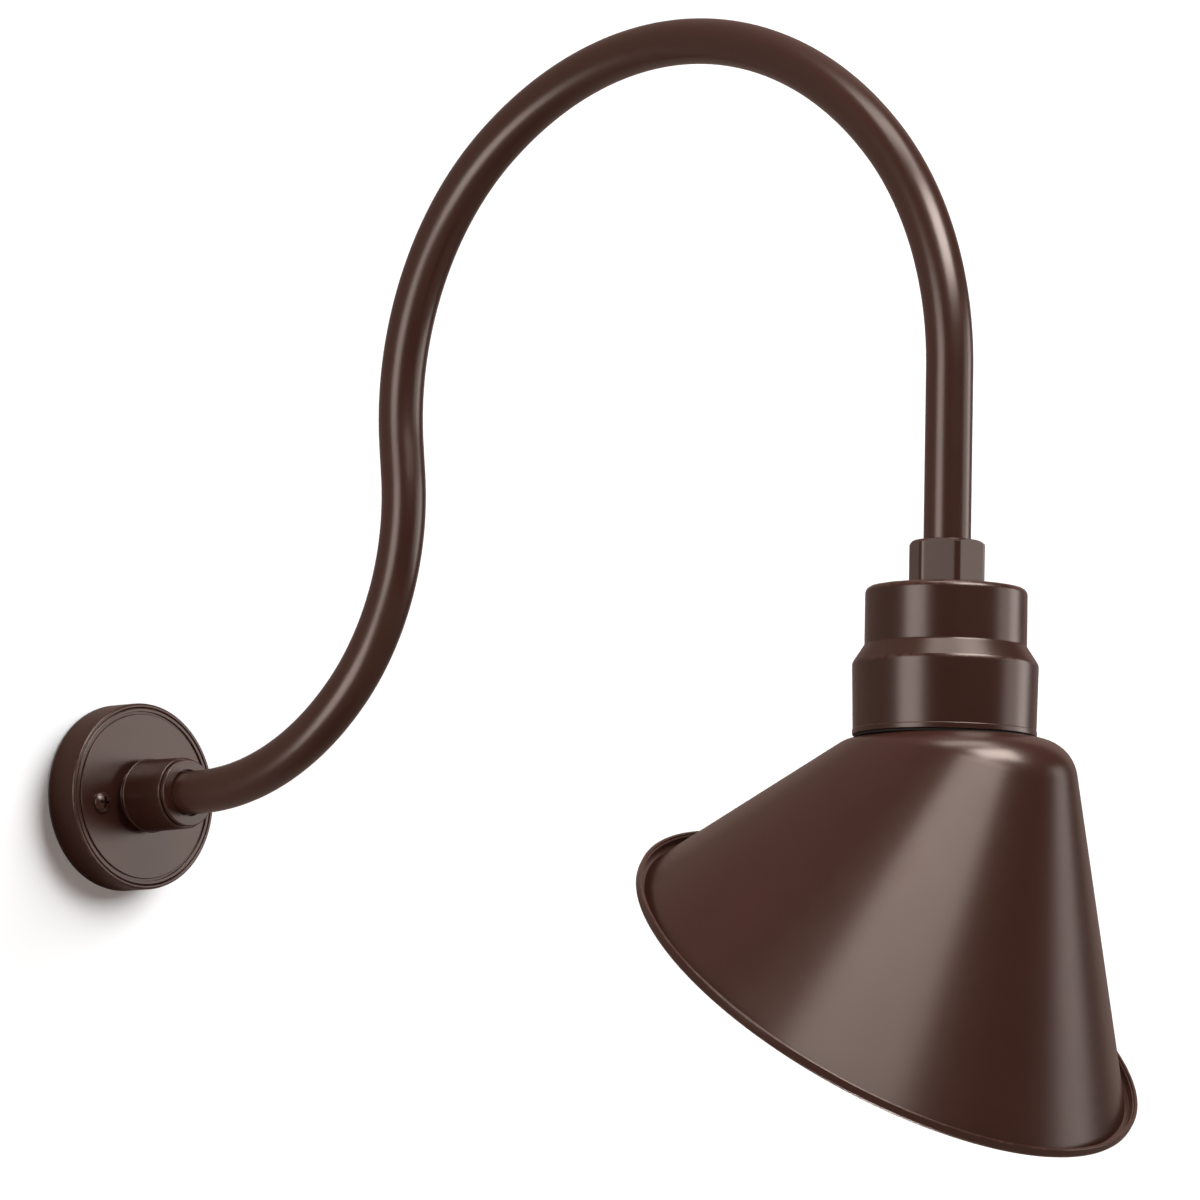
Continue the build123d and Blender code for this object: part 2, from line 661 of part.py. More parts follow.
# Porcelain body: flange with the terminals on top, deep cup for the screw shell below.
holder_cavity_top = holder_top - holder_floor
terminal_height = holder_top - terminal_drop
flange_radius = holder_flange_diameter / 2
shell_inner_radius = cap_diameter / 2 + cap_clearance + thread_depth
shell_outer_radius = shell_inner_radius + shell_wall
terminal_planes = [
    Plane(origin=(0, -reach + flange_radius, terminal_height), x_dir=(1, 0, 0), z_dir=(0, 1, 0)),
    Plane(origin=(0, -reach - flange_radius, terminal_height), x_dir=(1, 0, 0), z_dir=(0, -1, 0)),
]
with BuildPart() as lampholder_body:
    with BuildSketch(level(holder_foot)):
        Circle(holder_diameter / 2)
    extrude(amount=holder_height - holder_flange_height)
    with BuildSketch(level(holder_top - holder_flange_height)):
        Circle(flange_radius)
    extrude(amount=holder_flange_height)
    with BuildSketch(level(holder_foot)):
        Circle(shell_outer_radius + slip_fit)
    extrude(amount=holder_height - holder_floor, mode=Mode.SUBTRACT)
    with BuildSketch(level(holder_top)):
        with GridLocations(holder_screw_spacing, 0, 2, 1):
            Circle(bracket_screw_diameter / 2 + screw_fit)
    extrude(amount=-holder_screw_grip - free_gap, mode=Mode.SUBTRACT)
    with BuildSketch(*terminal_planes):
        Circle(terminal_screw_diameter / 2 + screw_fit)
    extrude(amount=-terminal_screw_grip - free_gap, mode=Mode.SUBTRACT)
save(lampholder_body, "lampholder_body")


def rolled_thread(radius, top, foot):
    """Points along a rolled thread seen from the side, from the top down; its crests at the radius."""
    step = (top - foot) / (2 * thread_turns)
    return [(radius - thread_depth * (turn % 2), top - turn * step) for turn in range(2 * thread_turns + 1)]


# Brass screw shell inside the porcelain.
shell_foot = holder_foot + shell_inset
with BuildPart() as lampholder_shell:
    with BuildSketch(stem_plane):
        with BuildLine():
            outside = Spline(rolled_thread(shell_outer_radius, shell_foot + shell_length, shell_foot))
            inside = Spline(rolled_thread(shell_inner_radius, shell_foot + shell_length, shell_foot))
            Line(outside @ 0, inside @ 0)
            Line(outside @ 1, inside @ 1)
        make_face()
    revolve(axis=stem_axis)
save(lampholder_shell, "lampholder_shell")

# Brass tongue under the porcelain floor that presses on the lamp's button.
with BuildPart() as centre_contact:
    with BuildSketch(stem_plane.offset(-contact_width / 2)):
        with BuildLine():
            Polyline(
                (contact_reach, holder_cavity_top),
                (contact_bend, holder_cavity_top),
                (-contact_tip, holder_cavity_top - contact_drop),
                (-contact_tip, holder_cavity_top - contact_drop - contact_thickness),
                (contact_bend, holder_cavity_top - contact_thickness),
                (contact_reach, holder_cavity_top - contact_thickness),
                close=True,
            )
        make_face()
    extrude(amount=contact_width)
save(centre_contact, "centre_contact")

# Terminal screws on both sides of the porcelain, each clamping a lead.
terminal_seat = lead_diameter + screw_fit
terminal_screw = small_screw(terminal_screw_diameter, terminal_screw_grip + terminal_seat)
with BuildPart(*[plane.offset(terminal_seat) for plane in terminal_planes]) as terminal_screws:
    add(terminal_screw)
save(terminal_screws, "terminal_screws")

# ================================================================ lamp
lamp_top = holder_cavity_top - contact_drop - contact_thickness - free_gap
insulator_top = lamp_top - button_height
cap_top = insulator_top - insulator_height
cap_foot = cap_top - cap_length
lamp_joint = cap_foot - lamp_body_length       # where the body meets the diffuser
lamp_foot = lamp_top - lamp_length
cap_radius = cap_diameter / 2
neck_radius = cap_radius - thread_depth - cap_wall - slip_fit
body_radius = lamp_body_diameter / 2
collar_radius = body_radius - lamp_body_wall - slip_fit
diffuser_radius = lamp_diameter / 2
dome_centre = lamp_foot + diffuser_radius

with BuildPart() as lamp_button:
    with BuildSketch(level(insulator_top)):
        Circle(button_diameter / 2)
    extrude(amount=button_height)
    fillet(edges().group_by(Axis.Z)[-1], button_round)
save(lamp_button, "lamp_button")

with BuildPart() as lamp_insulator:
    with BuildSketch(level(cap_top)):
        Circle(insulator_diameter / 2)
    with BuildSketch(level(insulator_top)):
        Circle(insulator_top_diameter / 2)
    loft()
save(lamp_insulator, "lamp_insulator")

with BuildPart() as lamp_cap:
    with BuildSketch(stem_plane):
        with BuildLine():
            outside = Spline(rolled_thread(cap_radius, cap_top, cap_foot))
            inside = Spline(rolled_thread(cap_radius - cap_wall, cap_top, cap_foot))
            Line(outside @ 0, inside @ 0)
            Line(outside @ 1, inside @ 1)
        make_face()
    revolve(axis=stem_axis)
    with BuildSketch(level(cap_top - cap_wall)):
        Circle(cap_radius - cap_wall / 2)
        Circle(cap_opening_diameter / 2, mode=Mode.SUBTRACT)
    extrude(amount=cap_wall)
save(lamp_cap, "lamp_cap")

# Plastic body: neck inside the cap, bell down to the diffuser, step for the light board.
board_top = lamp_joint + collar_height + board_thickness
with BuildPart() as lamp_body:
    with BuildSketch(stem_plane):
        with BuildLine():
            neck = Polyline(
                (neck_radius - lamp_body_wall, cap_foot),
                (neck_radius - lamp_body_wall, cap_foot + lamp_neck_length),
                (neck_radius, cap_foot + lamp_neck_length),
                (neck_radius, cap_foot),
                (lamp_neck_diameter / 2, cap_foot),
            )
            bell = Spline(neck @ 1, (body_radius, lamp_joint), tangents=((0, -1), (0, -1)))
            step = Polyline(
                bell @ 1,
                (body_radius - lamp_body_wall, lamp_joint),
                (body_radius - lamp_body_wall, board_top),
                (body_radius - 2 * lamp_body_wall, board_top),
            )
            Spline(step @ 1, neck @ 0, tangents=((0, 1), (0, 1)))
        make_face()
    revolve(axis=stem_axis)
save(lamp_body, "lamp_body")

with BuildPart() as lamp_board:
    with BuildSketch(level(board_top - board_thickness)):
        Circle(collar_radius)
    extrude(amount=board_thickness)
save(lamp_board, "lamp_board")

# Diffuser: collar inside the body, flare and a round dome.
with BuildPart() as lamp_diffuser:
    with BuildSketch(stem_plane):
        with BuildLine():
            collar = Polyline(
                (collar_radius - diffuser_wall, lamp_joint),
                (collar_radius - diffuser_wall, lamp_joint + collar_height),
                (collar_radius, lamp_joint + collar_height),
                (collar_radius, lamp_joint),
                (body_radius, lamp_joint),
            )
            flare = Line(collar @ 1, (diffuser_radius, dome_centre))
            dome = JernArc(flare @ 1, (0, -1), diffuser_radius, -90)
            crown = Line(dome @ 1, dome @ 1 + (0, diffuser_wall))
            inner_dome = JernArc(crown @ 1, (1, 0), diffuser_radius - diffuser_wall, 90)
            Line(inner_dome @ 1, collar @ 0)
        make_face()
    revolve(axis=stem_axis)
save(lamp_diffuser, "lamp_diffuser")

# ================================================================ wiring
cable_from_wall = lead_plane_from_wall + lead_bend
cable_end = stem_foot - cable_past_stem
bushing_radius = pipe_bore_radius - slip_fit
cable_hole_radius = cable_radius + slip_fit

# Snap-in bushings that carry the cable at both ends of its metal run.
with BuildPart() as hub_bushing:
    with BuildSketch(wall_plane(spigot_end - bushing_flange)):
        Circle(bushing_flange_diameter / 2)
    extrude(amount=bushing_flange)
    with BuildSketch(wall_plane(spigot_end)):
        Circle(bushing_radius)
    extrude(amount=bushing_depth)
    with BuildSketch(wall_plane(spigot_end - bushing_flange)):
        Circle(cable_hole_radius)
    extrude(amount=bushing_flange + bushing_depth, mode=Mode.SUBTRACT)
save(hub_bushing, "hub_bushing")

with BuildPart() as stem_bushing:
    with BuildSketch(level(stem_foot - bushing_flange)):
        Circle(bushing_flange_diameter / 2)
    extrude(amount=bushing_flange)
    with BuildSketch(level(stem_foot)):
        Circle(bushing_radius)
    extrude(amount=bushing_depth)
    with BuildSketch(level(stem_foot - bushing_flange)):
        Circle(cable_hole_radius)
    extrude(amount=bushing_flange + bushing_depth, mode=Mode.SUBTRACT)
save(stem_bushing, "stem_bushing")

# Sheathed cable through the whole arm.
cable_path = arm_line(cable_from_wall, cable_past_stem)
with BuildPart() as supply_cable:
    with BuildSketch(wall_plane(cable_from_wall)):
        Circle(cable_radius)
    sweep(path=cable_path.wire())
save(supply_cable, "supply_cable")


def wall_lead(angle):
    """Core from the sheath's end that bends out behind the plate and ends inside its connector."""
    outward = (cos(radians(angle)), 0, sin(radians(angle)))
    side = Plane((0, 0, 0), x_dir=outward, z_dir=(-sin(radians(angle)), 0, cos(radians(angle))))
    straight = splice_radius + lead_in_connector - lead_circle - lead_bend
    with BuildPart() as lead:
        with BuildLine(side):
            bend = JernArc((lead_circle, -cable_from_wall), (0, 1), lead_bend, -90)
            Line(bend @ 1, bend @ 1 + (bend % 1) * straight)
        with BuildSketch(Plane(bend @ 0, x_dir=outward, z_dir=(0, 1, 0))):
            Circle(lead_radius)
        sweep()
    return lead


wall_line_lead = wall_lead(splice_angles[0])
save(wall_line_lead, "wall_line_lead")
wall_neutral_lead = wall_lead(splice_angles[1])
save(wall_neutral_lead, "wall_neutral_lead")

# Ground lead: straight on to the crossbar, then down beside its screw.
ground_lead_line = bracket_thickness + lead_radius
with BuildPart() as ground_lead:
    with BuildLine(Plane.YZ):
        run = Line((-cable_from_wall, -lead_circle), (-ground_lead_line - lead_bend, -lead_circle))
        run = JernArc(run @ 1, (1, 0), lead_bend, -90)
        Line(run @ 1, (-ground_lead_line, -ground_screw_drop - ground_lead_tail))
    with BuildSketch(Plane(origin=(0, -cable_from_wall, -lead_circle), x_dir=(1, 0, 0), z_dir=(0, 1, 0))):
        Circle(lead_radius)
    sweep()
save(ground_lead, "ground_lead")


def splice_plane(angle, distance):
    """Plane across a splice behind the plate, at a distance from the centre."""
    outward = Vector(cos(radians(angle)), 0, sin(radians(angle)))
    return Plane(outward * distance - Vector(0, lead_plane_from_wall, 0), x_dir=(0, 1, 0), z_dir=outward)


# Twist-on connectors on the ends of the two wall leads.
with BuildPart() as wire_connectors:
    for angle in splice_angles:
        with BuildSketch(splice_plane(angle, splice_radius)):
            Circle(connector_mouth_diameter / 2)
        with BuildSketch(splice_plane(angle, splice_radius + connector_length)):
            Circle(connector_tip_diameter / 2)
        loft()
        with BuildSketch(splice_plane(angle, splice_radius)):
            Circle(lead_radius + slip_fit)
        extrude(amount=lead_in_connector + free_gap, mode=Mode.SUBTRACT)
save(wire_connectors, "wire_connectors")


def socket_lead(side):
    """Core from the sheath's lower end to the terminal screw on one side of the lampholder."""
    beside_screw = side * (terminal_screw_diameter / 2 + lead_radius + screw_fit)
    outward = flange_radius + lead_radius
    top = cable_end - free_gap
    with BuildPart() as lead:
        with BuildLine(Plane.YZ.offset(beside_screw)):
            run = Line((-reach, top), (-reach, top - socket_lead_drop))
            run = JernArc(run @ 1, (0, -1), socket_lead_bend, side * 90)
            run = Line(run @ 1, run @ 1 + Vector(0, side * (outward - 2 * socket_lead_bend), 0))
            run = JernArc(run @ 1, (side, 0), socket_lead_bend, -side * 90)
            Line(run @ 1, (-reach + side * outward, terminal_height - socket_lead_tail))
        with BuildSketch(Plane(origin=(beside_screw, -reach, top), x_dir=(1, 0, 0), z_dir=(0, 0, -1))):
            Circle(lead_radius)
        sweep()
    return lead


socket_line_lead = socket_lead(1)
save(socket_line_lead, "socket_line_lead")
socket_neutral_lead = socket_lead(-1)
save(socket_neutral_lead, "socket_neutral_lead")
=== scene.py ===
# %% [markdown]
# # A gooseneck wall light, dressed around its solids
#
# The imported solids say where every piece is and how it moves. This lesson puts a finished surface on
# them: the castings, the bent pipe and the shade are modelled again with soft edges, and each piece
# inside keeps its solid and gets its own material. All lengths are in metres, +Z is up, the wall is
# the plane Y = 0 and -Y points into the room.

# %% Load the solids
from math import asin, atan2, cos, pi, radians, sin, tan

import bmesh
import bpy
from mathutils import Euler, Matrix, Vector


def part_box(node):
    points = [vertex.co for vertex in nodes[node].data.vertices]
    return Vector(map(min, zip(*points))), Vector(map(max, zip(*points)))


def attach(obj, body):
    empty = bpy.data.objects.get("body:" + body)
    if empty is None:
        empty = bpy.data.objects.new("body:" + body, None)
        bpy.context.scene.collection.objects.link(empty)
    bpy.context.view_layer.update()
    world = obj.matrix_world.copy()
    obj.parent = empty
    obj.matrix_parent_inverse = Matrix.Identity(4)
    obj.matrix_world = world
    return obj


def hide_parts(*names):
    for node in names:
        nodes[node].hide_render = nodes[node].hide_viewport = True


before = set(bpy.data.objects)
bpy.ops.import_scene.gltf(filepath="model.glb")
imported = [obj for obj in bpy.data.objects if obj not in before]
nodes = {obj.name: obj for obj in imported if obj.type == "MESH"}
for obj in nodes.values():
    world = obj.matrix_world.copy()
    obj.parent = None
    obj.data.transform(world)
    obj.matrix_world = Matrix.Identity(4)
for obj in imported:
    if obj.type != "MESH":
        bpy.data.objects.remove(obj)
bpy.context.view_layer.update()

MM = 0.001

# %% [markdown]
# ## Places read from the solids
#
# The stem's axis and the levels of the head come from the boxes of the solids, so that the pieces
# modelled here sit where the solids are.

# %% Places
housing_low, housing_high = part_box("housing")
shade_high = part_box("shade")[1]
nut_low, nut_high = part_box("stem_nut")
plate_low, plate_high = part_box("wall_plate")
hub_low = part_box("arm_hub")[0]
stem_y = (housing_low.y + housing_high.y) / 2
ON_STEM = Matrix.Translation((0, stem_y, 0))
FROM_WALL = Matrix.Rotation(pi / 2, 4, "X")      # turned pieces of the wall end: their height runs along -Y
print("stem axis at y =", round(stem_y, 5))

# %% [markdown]
# ## Camera
#
# The photograph was taken from the left and from just below, with a long lens. The camera has the
# same place, the same direction and the same slight roll.

# %% Camera
camera_data = bpy.data.cameras.new("camera")
camera_data.lens = 249.5
camera_data.sensor_width = 36.0
camera_data.clip_end = 50.0
camera = bpy.data.objects.new("camera", camera_data)
bpy.context.scene.collection.objects.link(camera)
camera_place = Vector((-3.3642, -3.8811, -0.4598))
camera_azimuth = radians(44.22)
camera_rise = radians(6.553)
camera_roll = radians(1.097)
turn = Euler((pi / 2 + camera_rise, 0, -camera_azimuth)).to_matrix().to_4x4()
camera.matrix_world = Matrix.Translation(camera_place) @ turn @ Matrix.Rotation(camera_roll, 4, "Z")
bpy.context.scene.camera = camera
print("camera at", tuple(round(part, 3) for part in camera_place))

# %% [markdown]
# ## Wall and floor
#
# The wall and the floor are a stage, not part of the object. Their white comes from their own
# colour, with a little added for the camera so that the lit parts are plain white while the shadows
# stay. Every other ray meets a dim, warm paint, so the satin metal keeps its brown darks. Both are
# seen through from behind, so that the back and the underside of the light can be looked at.

# %% Stage
bpy.context.scene.view_settings.view_transform = "Standard"
SHEET_WHITE = (0.84, 0.86, 0.87, 1)          # what the camera sees of a sheet
SHEET_DIM = (0.27, 0.205, 0.18, 1)           # what every other ray meets
WALL_GLOW = 0.10
FLOOR_GLOW = 0.62
FLOOR_LEVEL = -0.62
WALL_GAP = 0.6 * MM
SHEET_HALF = 6.0


def stage_material(name, glow_level):
    """White paint that keeps shadows and lets a camera look through it from behind."""
    paint = bpy.data.materials.new(name)
    paint.use_nodes = True
    tree = paint.node_tree
    tree.nodes.clear()
    out = tree.nodes.new("ShaderNodeOutputMaterial")
    diffuse = tree.nodes.new("ShaderNodeBsdfDiffuse")
    diffuse.inputs["Color"].default_value = SHEET_WHITE
    bounce = tree.nodes.new("ShaderNodeBsdfDiffuse")
    bounce.inputs["Color"].default_value = SHEET_DIM
    glow = tree.nodes.new("ShaderNodeEmission")
    glow.inputs["Strength"].default_value = glow_level
    rays = tree.nodes.new("ShaderNodeLightPath")
    lit = tree.nodes.new("ShaderNodeAddShader")
    shown = tree.nodes.new("ShaderNodeMixShader")
    through = tree.nodes.new("ShaderNodeBsdfTransparent")
    side = tree.nodes.new("ShaderNodeNewGeometry")
    front = tree.nodes.new("ShaderNodeMixShader")
    tree.links.new(diffuse.outputs[0], lit.inputs[0])
    tree.links.new(glow.outputs[0], lit.inputs[1])
    tree.links.new(rays.outputs["Is Camera Ray"], shown.inputs[0])
    tree.links.new(bounce.outputs[0], shown.inputs[1])
    tree.links.new(lit.outputs[0], shown.inputs[2])
    tree.links.new(side.outputs["Backfacing"], front.inputs[0])
    tree.links.new(shown.outputs[0], front.inputs[1])
    tree.links.new(through.outputs[0], front.inputs[2])
    tree.links.new(front.outputs[0], out.inputs["Surface"])
    return paint


def stage_sheet(name, place, material):
    """Flat square sheet of the stage."""
    sheet = bmesh.new()
    bmesh.ops.create_grid(sheet, x_segments=1, y_segments=1, size=SHEET_HALF, matrix=place)
    mesh = bpy.data.meshes.new(name)
    sheet.to_mesh(mesh)
    sheet.free()
    mesh.materials.append(material)
    piece = bpy.data.objects.new(name, mesh)
    bpy.context.scene.collection.objects.link(piece)
    print("stage sheet", name)
    return piece


wall_place = Matrix.Translation((0, WALL_GAP, 0)) @ Matrix.Rotation(pi / 2, 4, "X")
floor_place = Matrix.Translation((0, 0, FLOOR_LEVEL))
wall = stage_sheet("backdrop_wall", wall_place, stage_material("wall_white", WALL_GLOW))
floor = stage_sheet("floor", floor_place, stage_material("floor_white", FLOOR_GLOW))

# %% [markdown]
# ## Light
#
# The bands on the round pieces say where the lamps stood: a tall soft box at the left and two at the
# right, all nearly level with the light, one high in front and a smaller one overhead. Light linking
# keeps these off the wall, and gives some pieces lamps of their own. The shade takes a broad leaning
# box, which draws the band down its cone, and a weak one at the right in place of the two. The pipe
# has a low one, and the pieces behind the plate and inside the shade have one each, from behind the
# wall and from below. The wall's own lamp throws the soft shadow of plate and hub to the left and
# down. Last, the world is white to the camera and through glass, and a dim, warm room to other rays.

# %% Soft boxes
AIM = Vector((0, stem_y * 0.75, 0))          # three quarters of the way out to the stem
WARM = (1.0, 0.94, 0.90)
NEAR = 2.2
FAR = 4.4
WALL_LAMP_FAR = 7.0


def soft_box(name, azimuth, rise, distance, size, power, tilt=0):
    """Rectangular soft light; its azimuth is counted in degrees from +X, seen from above."""
    level = Vector((cos(radians(azimuth)), sin(radians(azimuth)), 0)) * cos(radians(rise))
    toward = level + Vector((0, 0, sin(radians(rise))))
    lamp = bpy.data.lights.new(name, "AREA")
    lamp.shape = "RECTANGLE"
    lamp.size, lamp.size_y = size
    lamp.energy = power
    lamp.color = WARM
    holder = bpy.data.objects.new(name, lamp)
    holder.location = AIM + toward * distance
    facing = toward.to_track_quat("Z", "Y").to_matrix() @ Matrix.Rotation(radians(tilt), 3, "Z")
    holder.rotation_euler = facing.to_euler()
    bpy.context.scene.collection.objects.link(holder)
    print("light", name, "at", tuple(round(part, 2) for part in holder.location))
    return holder


# each box: name, azimuth, rise, distance, width and height, watts
object_lamps = [
    soft_box("left_box", 184, 6, NEAR, (1.15, 1.4), 17),
    soft_box("top_box", 266, 47, NEAR, (1.4, 0.9), 42),
    soft_box("ceiling_box", 245, 76, NEAR, (1.4, 0.6), 12),
]
shade_lamps = [
    soft_box("shade_box", 241, 25, FAR, (3.6, 1.5), 76, tilt=-24),
    soft_box("shade_right_box", 331, 6, NEAR, (0.8, 1.2), 4.5),
]
side_lamps = [
    soft_box("right_box", 331, 6, NEAR, (0.8, 1.2), 9.5),
    soft_box("right_fill_box", 308, 6, NEAR, (0.7, 1.2), 4.0),
]
pipe_lamp = soft_box("pipe_box", 166, -26, NEAR, (1.3, 1.0), 17)
back_lamp = soft_box("back_box", 90, 14, NEAR, (0.6, 0.6), 30)
mouth_lamp = soft_box("mouth_box", 90, -72, NEAR, (0.9, 0.9), 26)
wall_lamp = soft_box("wall_lamp", 301, 32, WALL_LAMP_FAR, (5.6, 5.6), 850)
wall_lamp.data.color = (1, 1, 1)

# %% Which lamp lights what


def leave_out(group, piece):
    """Turns a light linking collection into everything but the piece."""
    group.objects.link(piece)
    group.collection_objects[-1].light_linking.link_state = "EXCLUDE"


def lit_group(name, lamps, *left_out):
    """Collection of what the lamps light; with pieces left out, it means all the others."""
    group = bpy.data.collections.new(name)
    for piece in left_out:
        leave_out(group, piece)
    for holder in lamps:
        holder.light_linking.receiver_collection = group
    print("light group", name, "for", len(lamps), "lamps")
    return group


lit_group("all_but_the_wall", object_lamps, wall)
not_the_shade = lit_group("all_but_the_shade_and_wall", side_lamps, wall)
only_the_shade = lit_group("only_the_shade", shade_lamps)
only_the_pipe = lit_group("only_the_pipe", [pipe_lamp])
seen_from_behind = lit_group("seen_from_behind", [back_lamp])
seen_from_below = lit_group("seen_from_below", [mouth_lamp])
lit_group("only_the_wall", [wall_lamp]).objects.link(wall)
no_stage = lit_group("no_shadow_of_the_stage", [], wall, floor)
wall_shadow_casters = lit_group("shadow_on_the_wall", [])
wall_lamp.light_linking.blocker_collection = wall_shadow_casters
pipe_lamp.light_linking.blocker_collection = only_the_pipe
back_lamp.light_linking.blocker_collection = no_stage
mouth_lamp.light_linking.blocker_collection = no_stage
for holder in (pipe_lamp, back_lamp, mouth_lamp):
    holder.data.cycles.use_multiple_importance_sampling = False

# %% World
ROOM_COLOUR = (0.078, 0.058, 0.050, 1)
world = bpy.data.worlds.new("studio")
bpy.context.scene.world = world
world.use_nodes = True
world_nodes = world.node_tree.nodes
world_links = world.node_tree.links
path = world_nodes.new("ShaderNodeLightPath")
seen = world_nodes.new("ShaderNodeMath")
seen.operation = "MAXIMUM"
room = world_nodes.new("ShaderNodeMix")
room.data_type = "RGBA"
room.inputs["A"].default_value = ROOM_COLOUR
room.inputs["B"].default_value = (1, 1, 1, 1)
background = world_nodes["Background"]
background.inputs["Strength"].default_value = 1.0
world_links.new(path.outputs["Is Camera Ray"], seen.inputs[0])
world_links.new(path.outputs["Is Transmission Ray"], seen.inputs[1])
world_links.new(seen.outputs[0], room.inputs["Factor"])
world_links.new(room.outputs["Result"], background.inputs["Color"])
print("world nodes:", len(world_nodes))

# %% [markdown]
# ## One node group for every painted, moulded and plated surface
#
# Real surfaces are never one flat colour: the colour and the gloss drift a little, a fine grain
# breaks up the highlight, and the edges are painted lighter, as rubbed wear and as a painted highlight
# on the rounds. One node group holds these effects, and each material places it with its own values.

# %% Colours and the surface group
PATCH_SIZE = 35.0 * MM
FLECK_SIZE = 4.0 * MM
SMEAR_SIZE = 12.0 * MM
FLECK_LOW = 0.42
FLECK_HIGH = 0.62


def linear(part):
    """Linear value of one screen colour value between 0 and 1."""
    return part / 12.92 if part < 0.04045 else ((part + 0.055) / 1.055) ** 2.4


def paint_colour(code):
    """Linear colour from a six-figure screen colour."""
    return tuple(linear(int(code[start:start + 2], 16) / 255) for start in (0, 2, 4)) + (1,)


def group_socket(tree, name, kind, into):
    """Named input or output of a node group."""
    tree.interface.new_socket(name=name, in_out="INPUT" if into else "OUTPUT", socket_type=kind)


def noise_node(tree, position, size, detail):
    """Noise whose features are about a given size, in metres."""
    noise = tree.nodes.new("ShaderNodeTexNoise")
    noise.inputs["Scale"].default_value = 1 / size
    noise.inputs["Detail"].default_value = detail
    tree.links.new(position, noise.inputs["Vector"])
    return noise


def build_surface_group():
    """Colour drift, gloss drift, grain, and edges painted lighter as rubbed wear and highlight, from Object
    coordinates.
    """
    tree = bpy.data.node_groups.new("worked_surface", "ShaderNodeTree")
    group_socket(tree, "Colour", "NodeSocketColor", True)
    group_socket(tree, "Edge Sheen And Wear Colour", "NodeSocketColor", True)
    group_socket(tree, "Colour Drift", "NodeSocketFloat", True)
    group_socket(tree, "Roughness", "NodeSocketFloat", True)
    group_socket(tree, "Gloss Drift", "NodeSocketFloat", True)
    group_socket(tree, "Edge Wear And Sheen", "NodeSocketFloat", True)
    group_socket(tree, "Grain Size", "NodeSocketFloat", True)
    group_socket(tree, "Grain Depth", "NodeSocketFloat", True)
    group_socket(tree, "Colour", "NodeSocketColor", False)
    group_socket(tree, "Roughness", "NodeSocketFloat", False)
    group_socket(tree, "Normal", "NodeSocketVector", False)
    new, link = tree.nodes.new, tree.links.new
    given, out = new("NodeGroupInput"), new("NodeGroupOutput")
    position = new("ShaderNodeTexCoord").outputs["Object"]

    # colour drift: the value rises and falls a little over patches of a few centimetres
    patches = noise_node(tree, position, PATCH_SIZE, 3)
    spread = new("ShaderNodeMath")
    spread.operation = "SUBTRACT"
    spread.inputs[1].default_value = 0.5
    link(patches.outputs[0], spread.inputs[0])
    drift = new("ShaderNodeMath")
    drift.operation = "MULTIPLY_ADD"
    drift.inputs[2].default_value = 1.0
    link(spread.outputs[0], drift.inputs[0])
    link(given.outputs["Colour Drift"], drift.inputs[1])
    drifted = new("ShaderNodeVectorMath")
    drifted.operation = "SCALE"
    link(given.outputs["Colour"], drifted.inputs[0])
    link(drift.outputs[0], drifted.inputs["Scale"])

    # edges painted lighter, as rubbed wear and as a painted highlight: the mesh says where the edges are,
    # and noise breaks the line up
    edges = new("ShaderNodeAttribute")
    edges.attribute_name = "edge_wear_and_sheen"
    flecks = noise_node(tree, position, FLECK_SIZE, 4)
    sharpen = new("ShaderNodeMapRange")
    sharpen.inputs["From Min"].default_value = FLECK_LOW
    sharpen.inputs["From Max"].default_value = FLECK_HIGH
    link(flecks.outputs[0], sharpen.inputs["Value"])
    broken = new("ShaderNodeMath")
    broken.operation = "MULTIPLY"
    link(edges.outputs["Fac"], broken.inputs[0])
    link(sharpen.outputs[0], broken.inputs[1])
    rubbed_and_sheen = new("ShaderNodeMath")
    rubbed_and_sheen.operation = "MULTIPLY"
    rubbed_and_sheen.use_clamp = True
    link(broken.outputs[0], rubbed_and_sheen.inputs[0])
    link(given.outputs["Edge Wear And Sheen"], rubbed_and_sheen.inputs[1])
    coloured = new("ShaderNodeMix")
    coloured.data_type = "RGBA"
    link(rubbed_and_sheen.outputs[0], coloured.inputs["Factor"])
    link(drifted.outputs[0], coloured.inputs["A"])
    link(given.outputs["Edge Sheen And Wear Colour"], coloured.inputs["B"])
    link(coloured.outputs["Result"], out.inputs["Colour"])

    # gloss drift: handling and casting leave some patches glossier
    smears = noise_node(tree, position, SMEAR_SIZE, 5)
    centred = new("ShaderNodeMath")
    centred.operation = "SUBTRACT"
    centred.inputs[1].default_value = 0.5
    link(smears.outputs[0], centred.inputs[0])
    gloss = new("ShaderNodeMath")
    gloss.operation = "MULTIPLY_ADD"
    gloss.use_clamp = True
    link(centred.outputs[0], gloss.inputs[0])
    link(given.outputs["Gloss Drift"], gloss.inputs[1])
    link(given.outputs["Roughness"], gloss.inputs[2])
    link(gloss.outputs[0], out.inputs["Roughness"])

    # grain: fine relief of the coat or the mould
    per_metre = new("ShaderNodeMath")
    per_metre.operation = "DIVIDE"
    per_metre.inputs[0].default_value = 1.0
    link(given.outputs["Grain Size"], per_metre.inputs[1])
    grain = new("ShaderNodeTexNoise")
    grain.inputs["Detail"].default_value = 3
    link(position, grain.inputs["Vector"])
    link(per_metre.outputs[0], grain.inputs["Scale"])
    relief = new("ShaderNodeBump")
    relief.inputs["Strength"].default_value = 1.0
    link(given.outputs["Grain Depth"], relief.inputs["Distance"])
    link(grain.outputs[0], relief.inputs["Height"])
    link(relief.outputs["Normal"], out.inputs["Normal"])
    print("node group", tree.name, "with", len(tree.nodes), "nodes")
    return tree


worked_surface = build_surface_group()


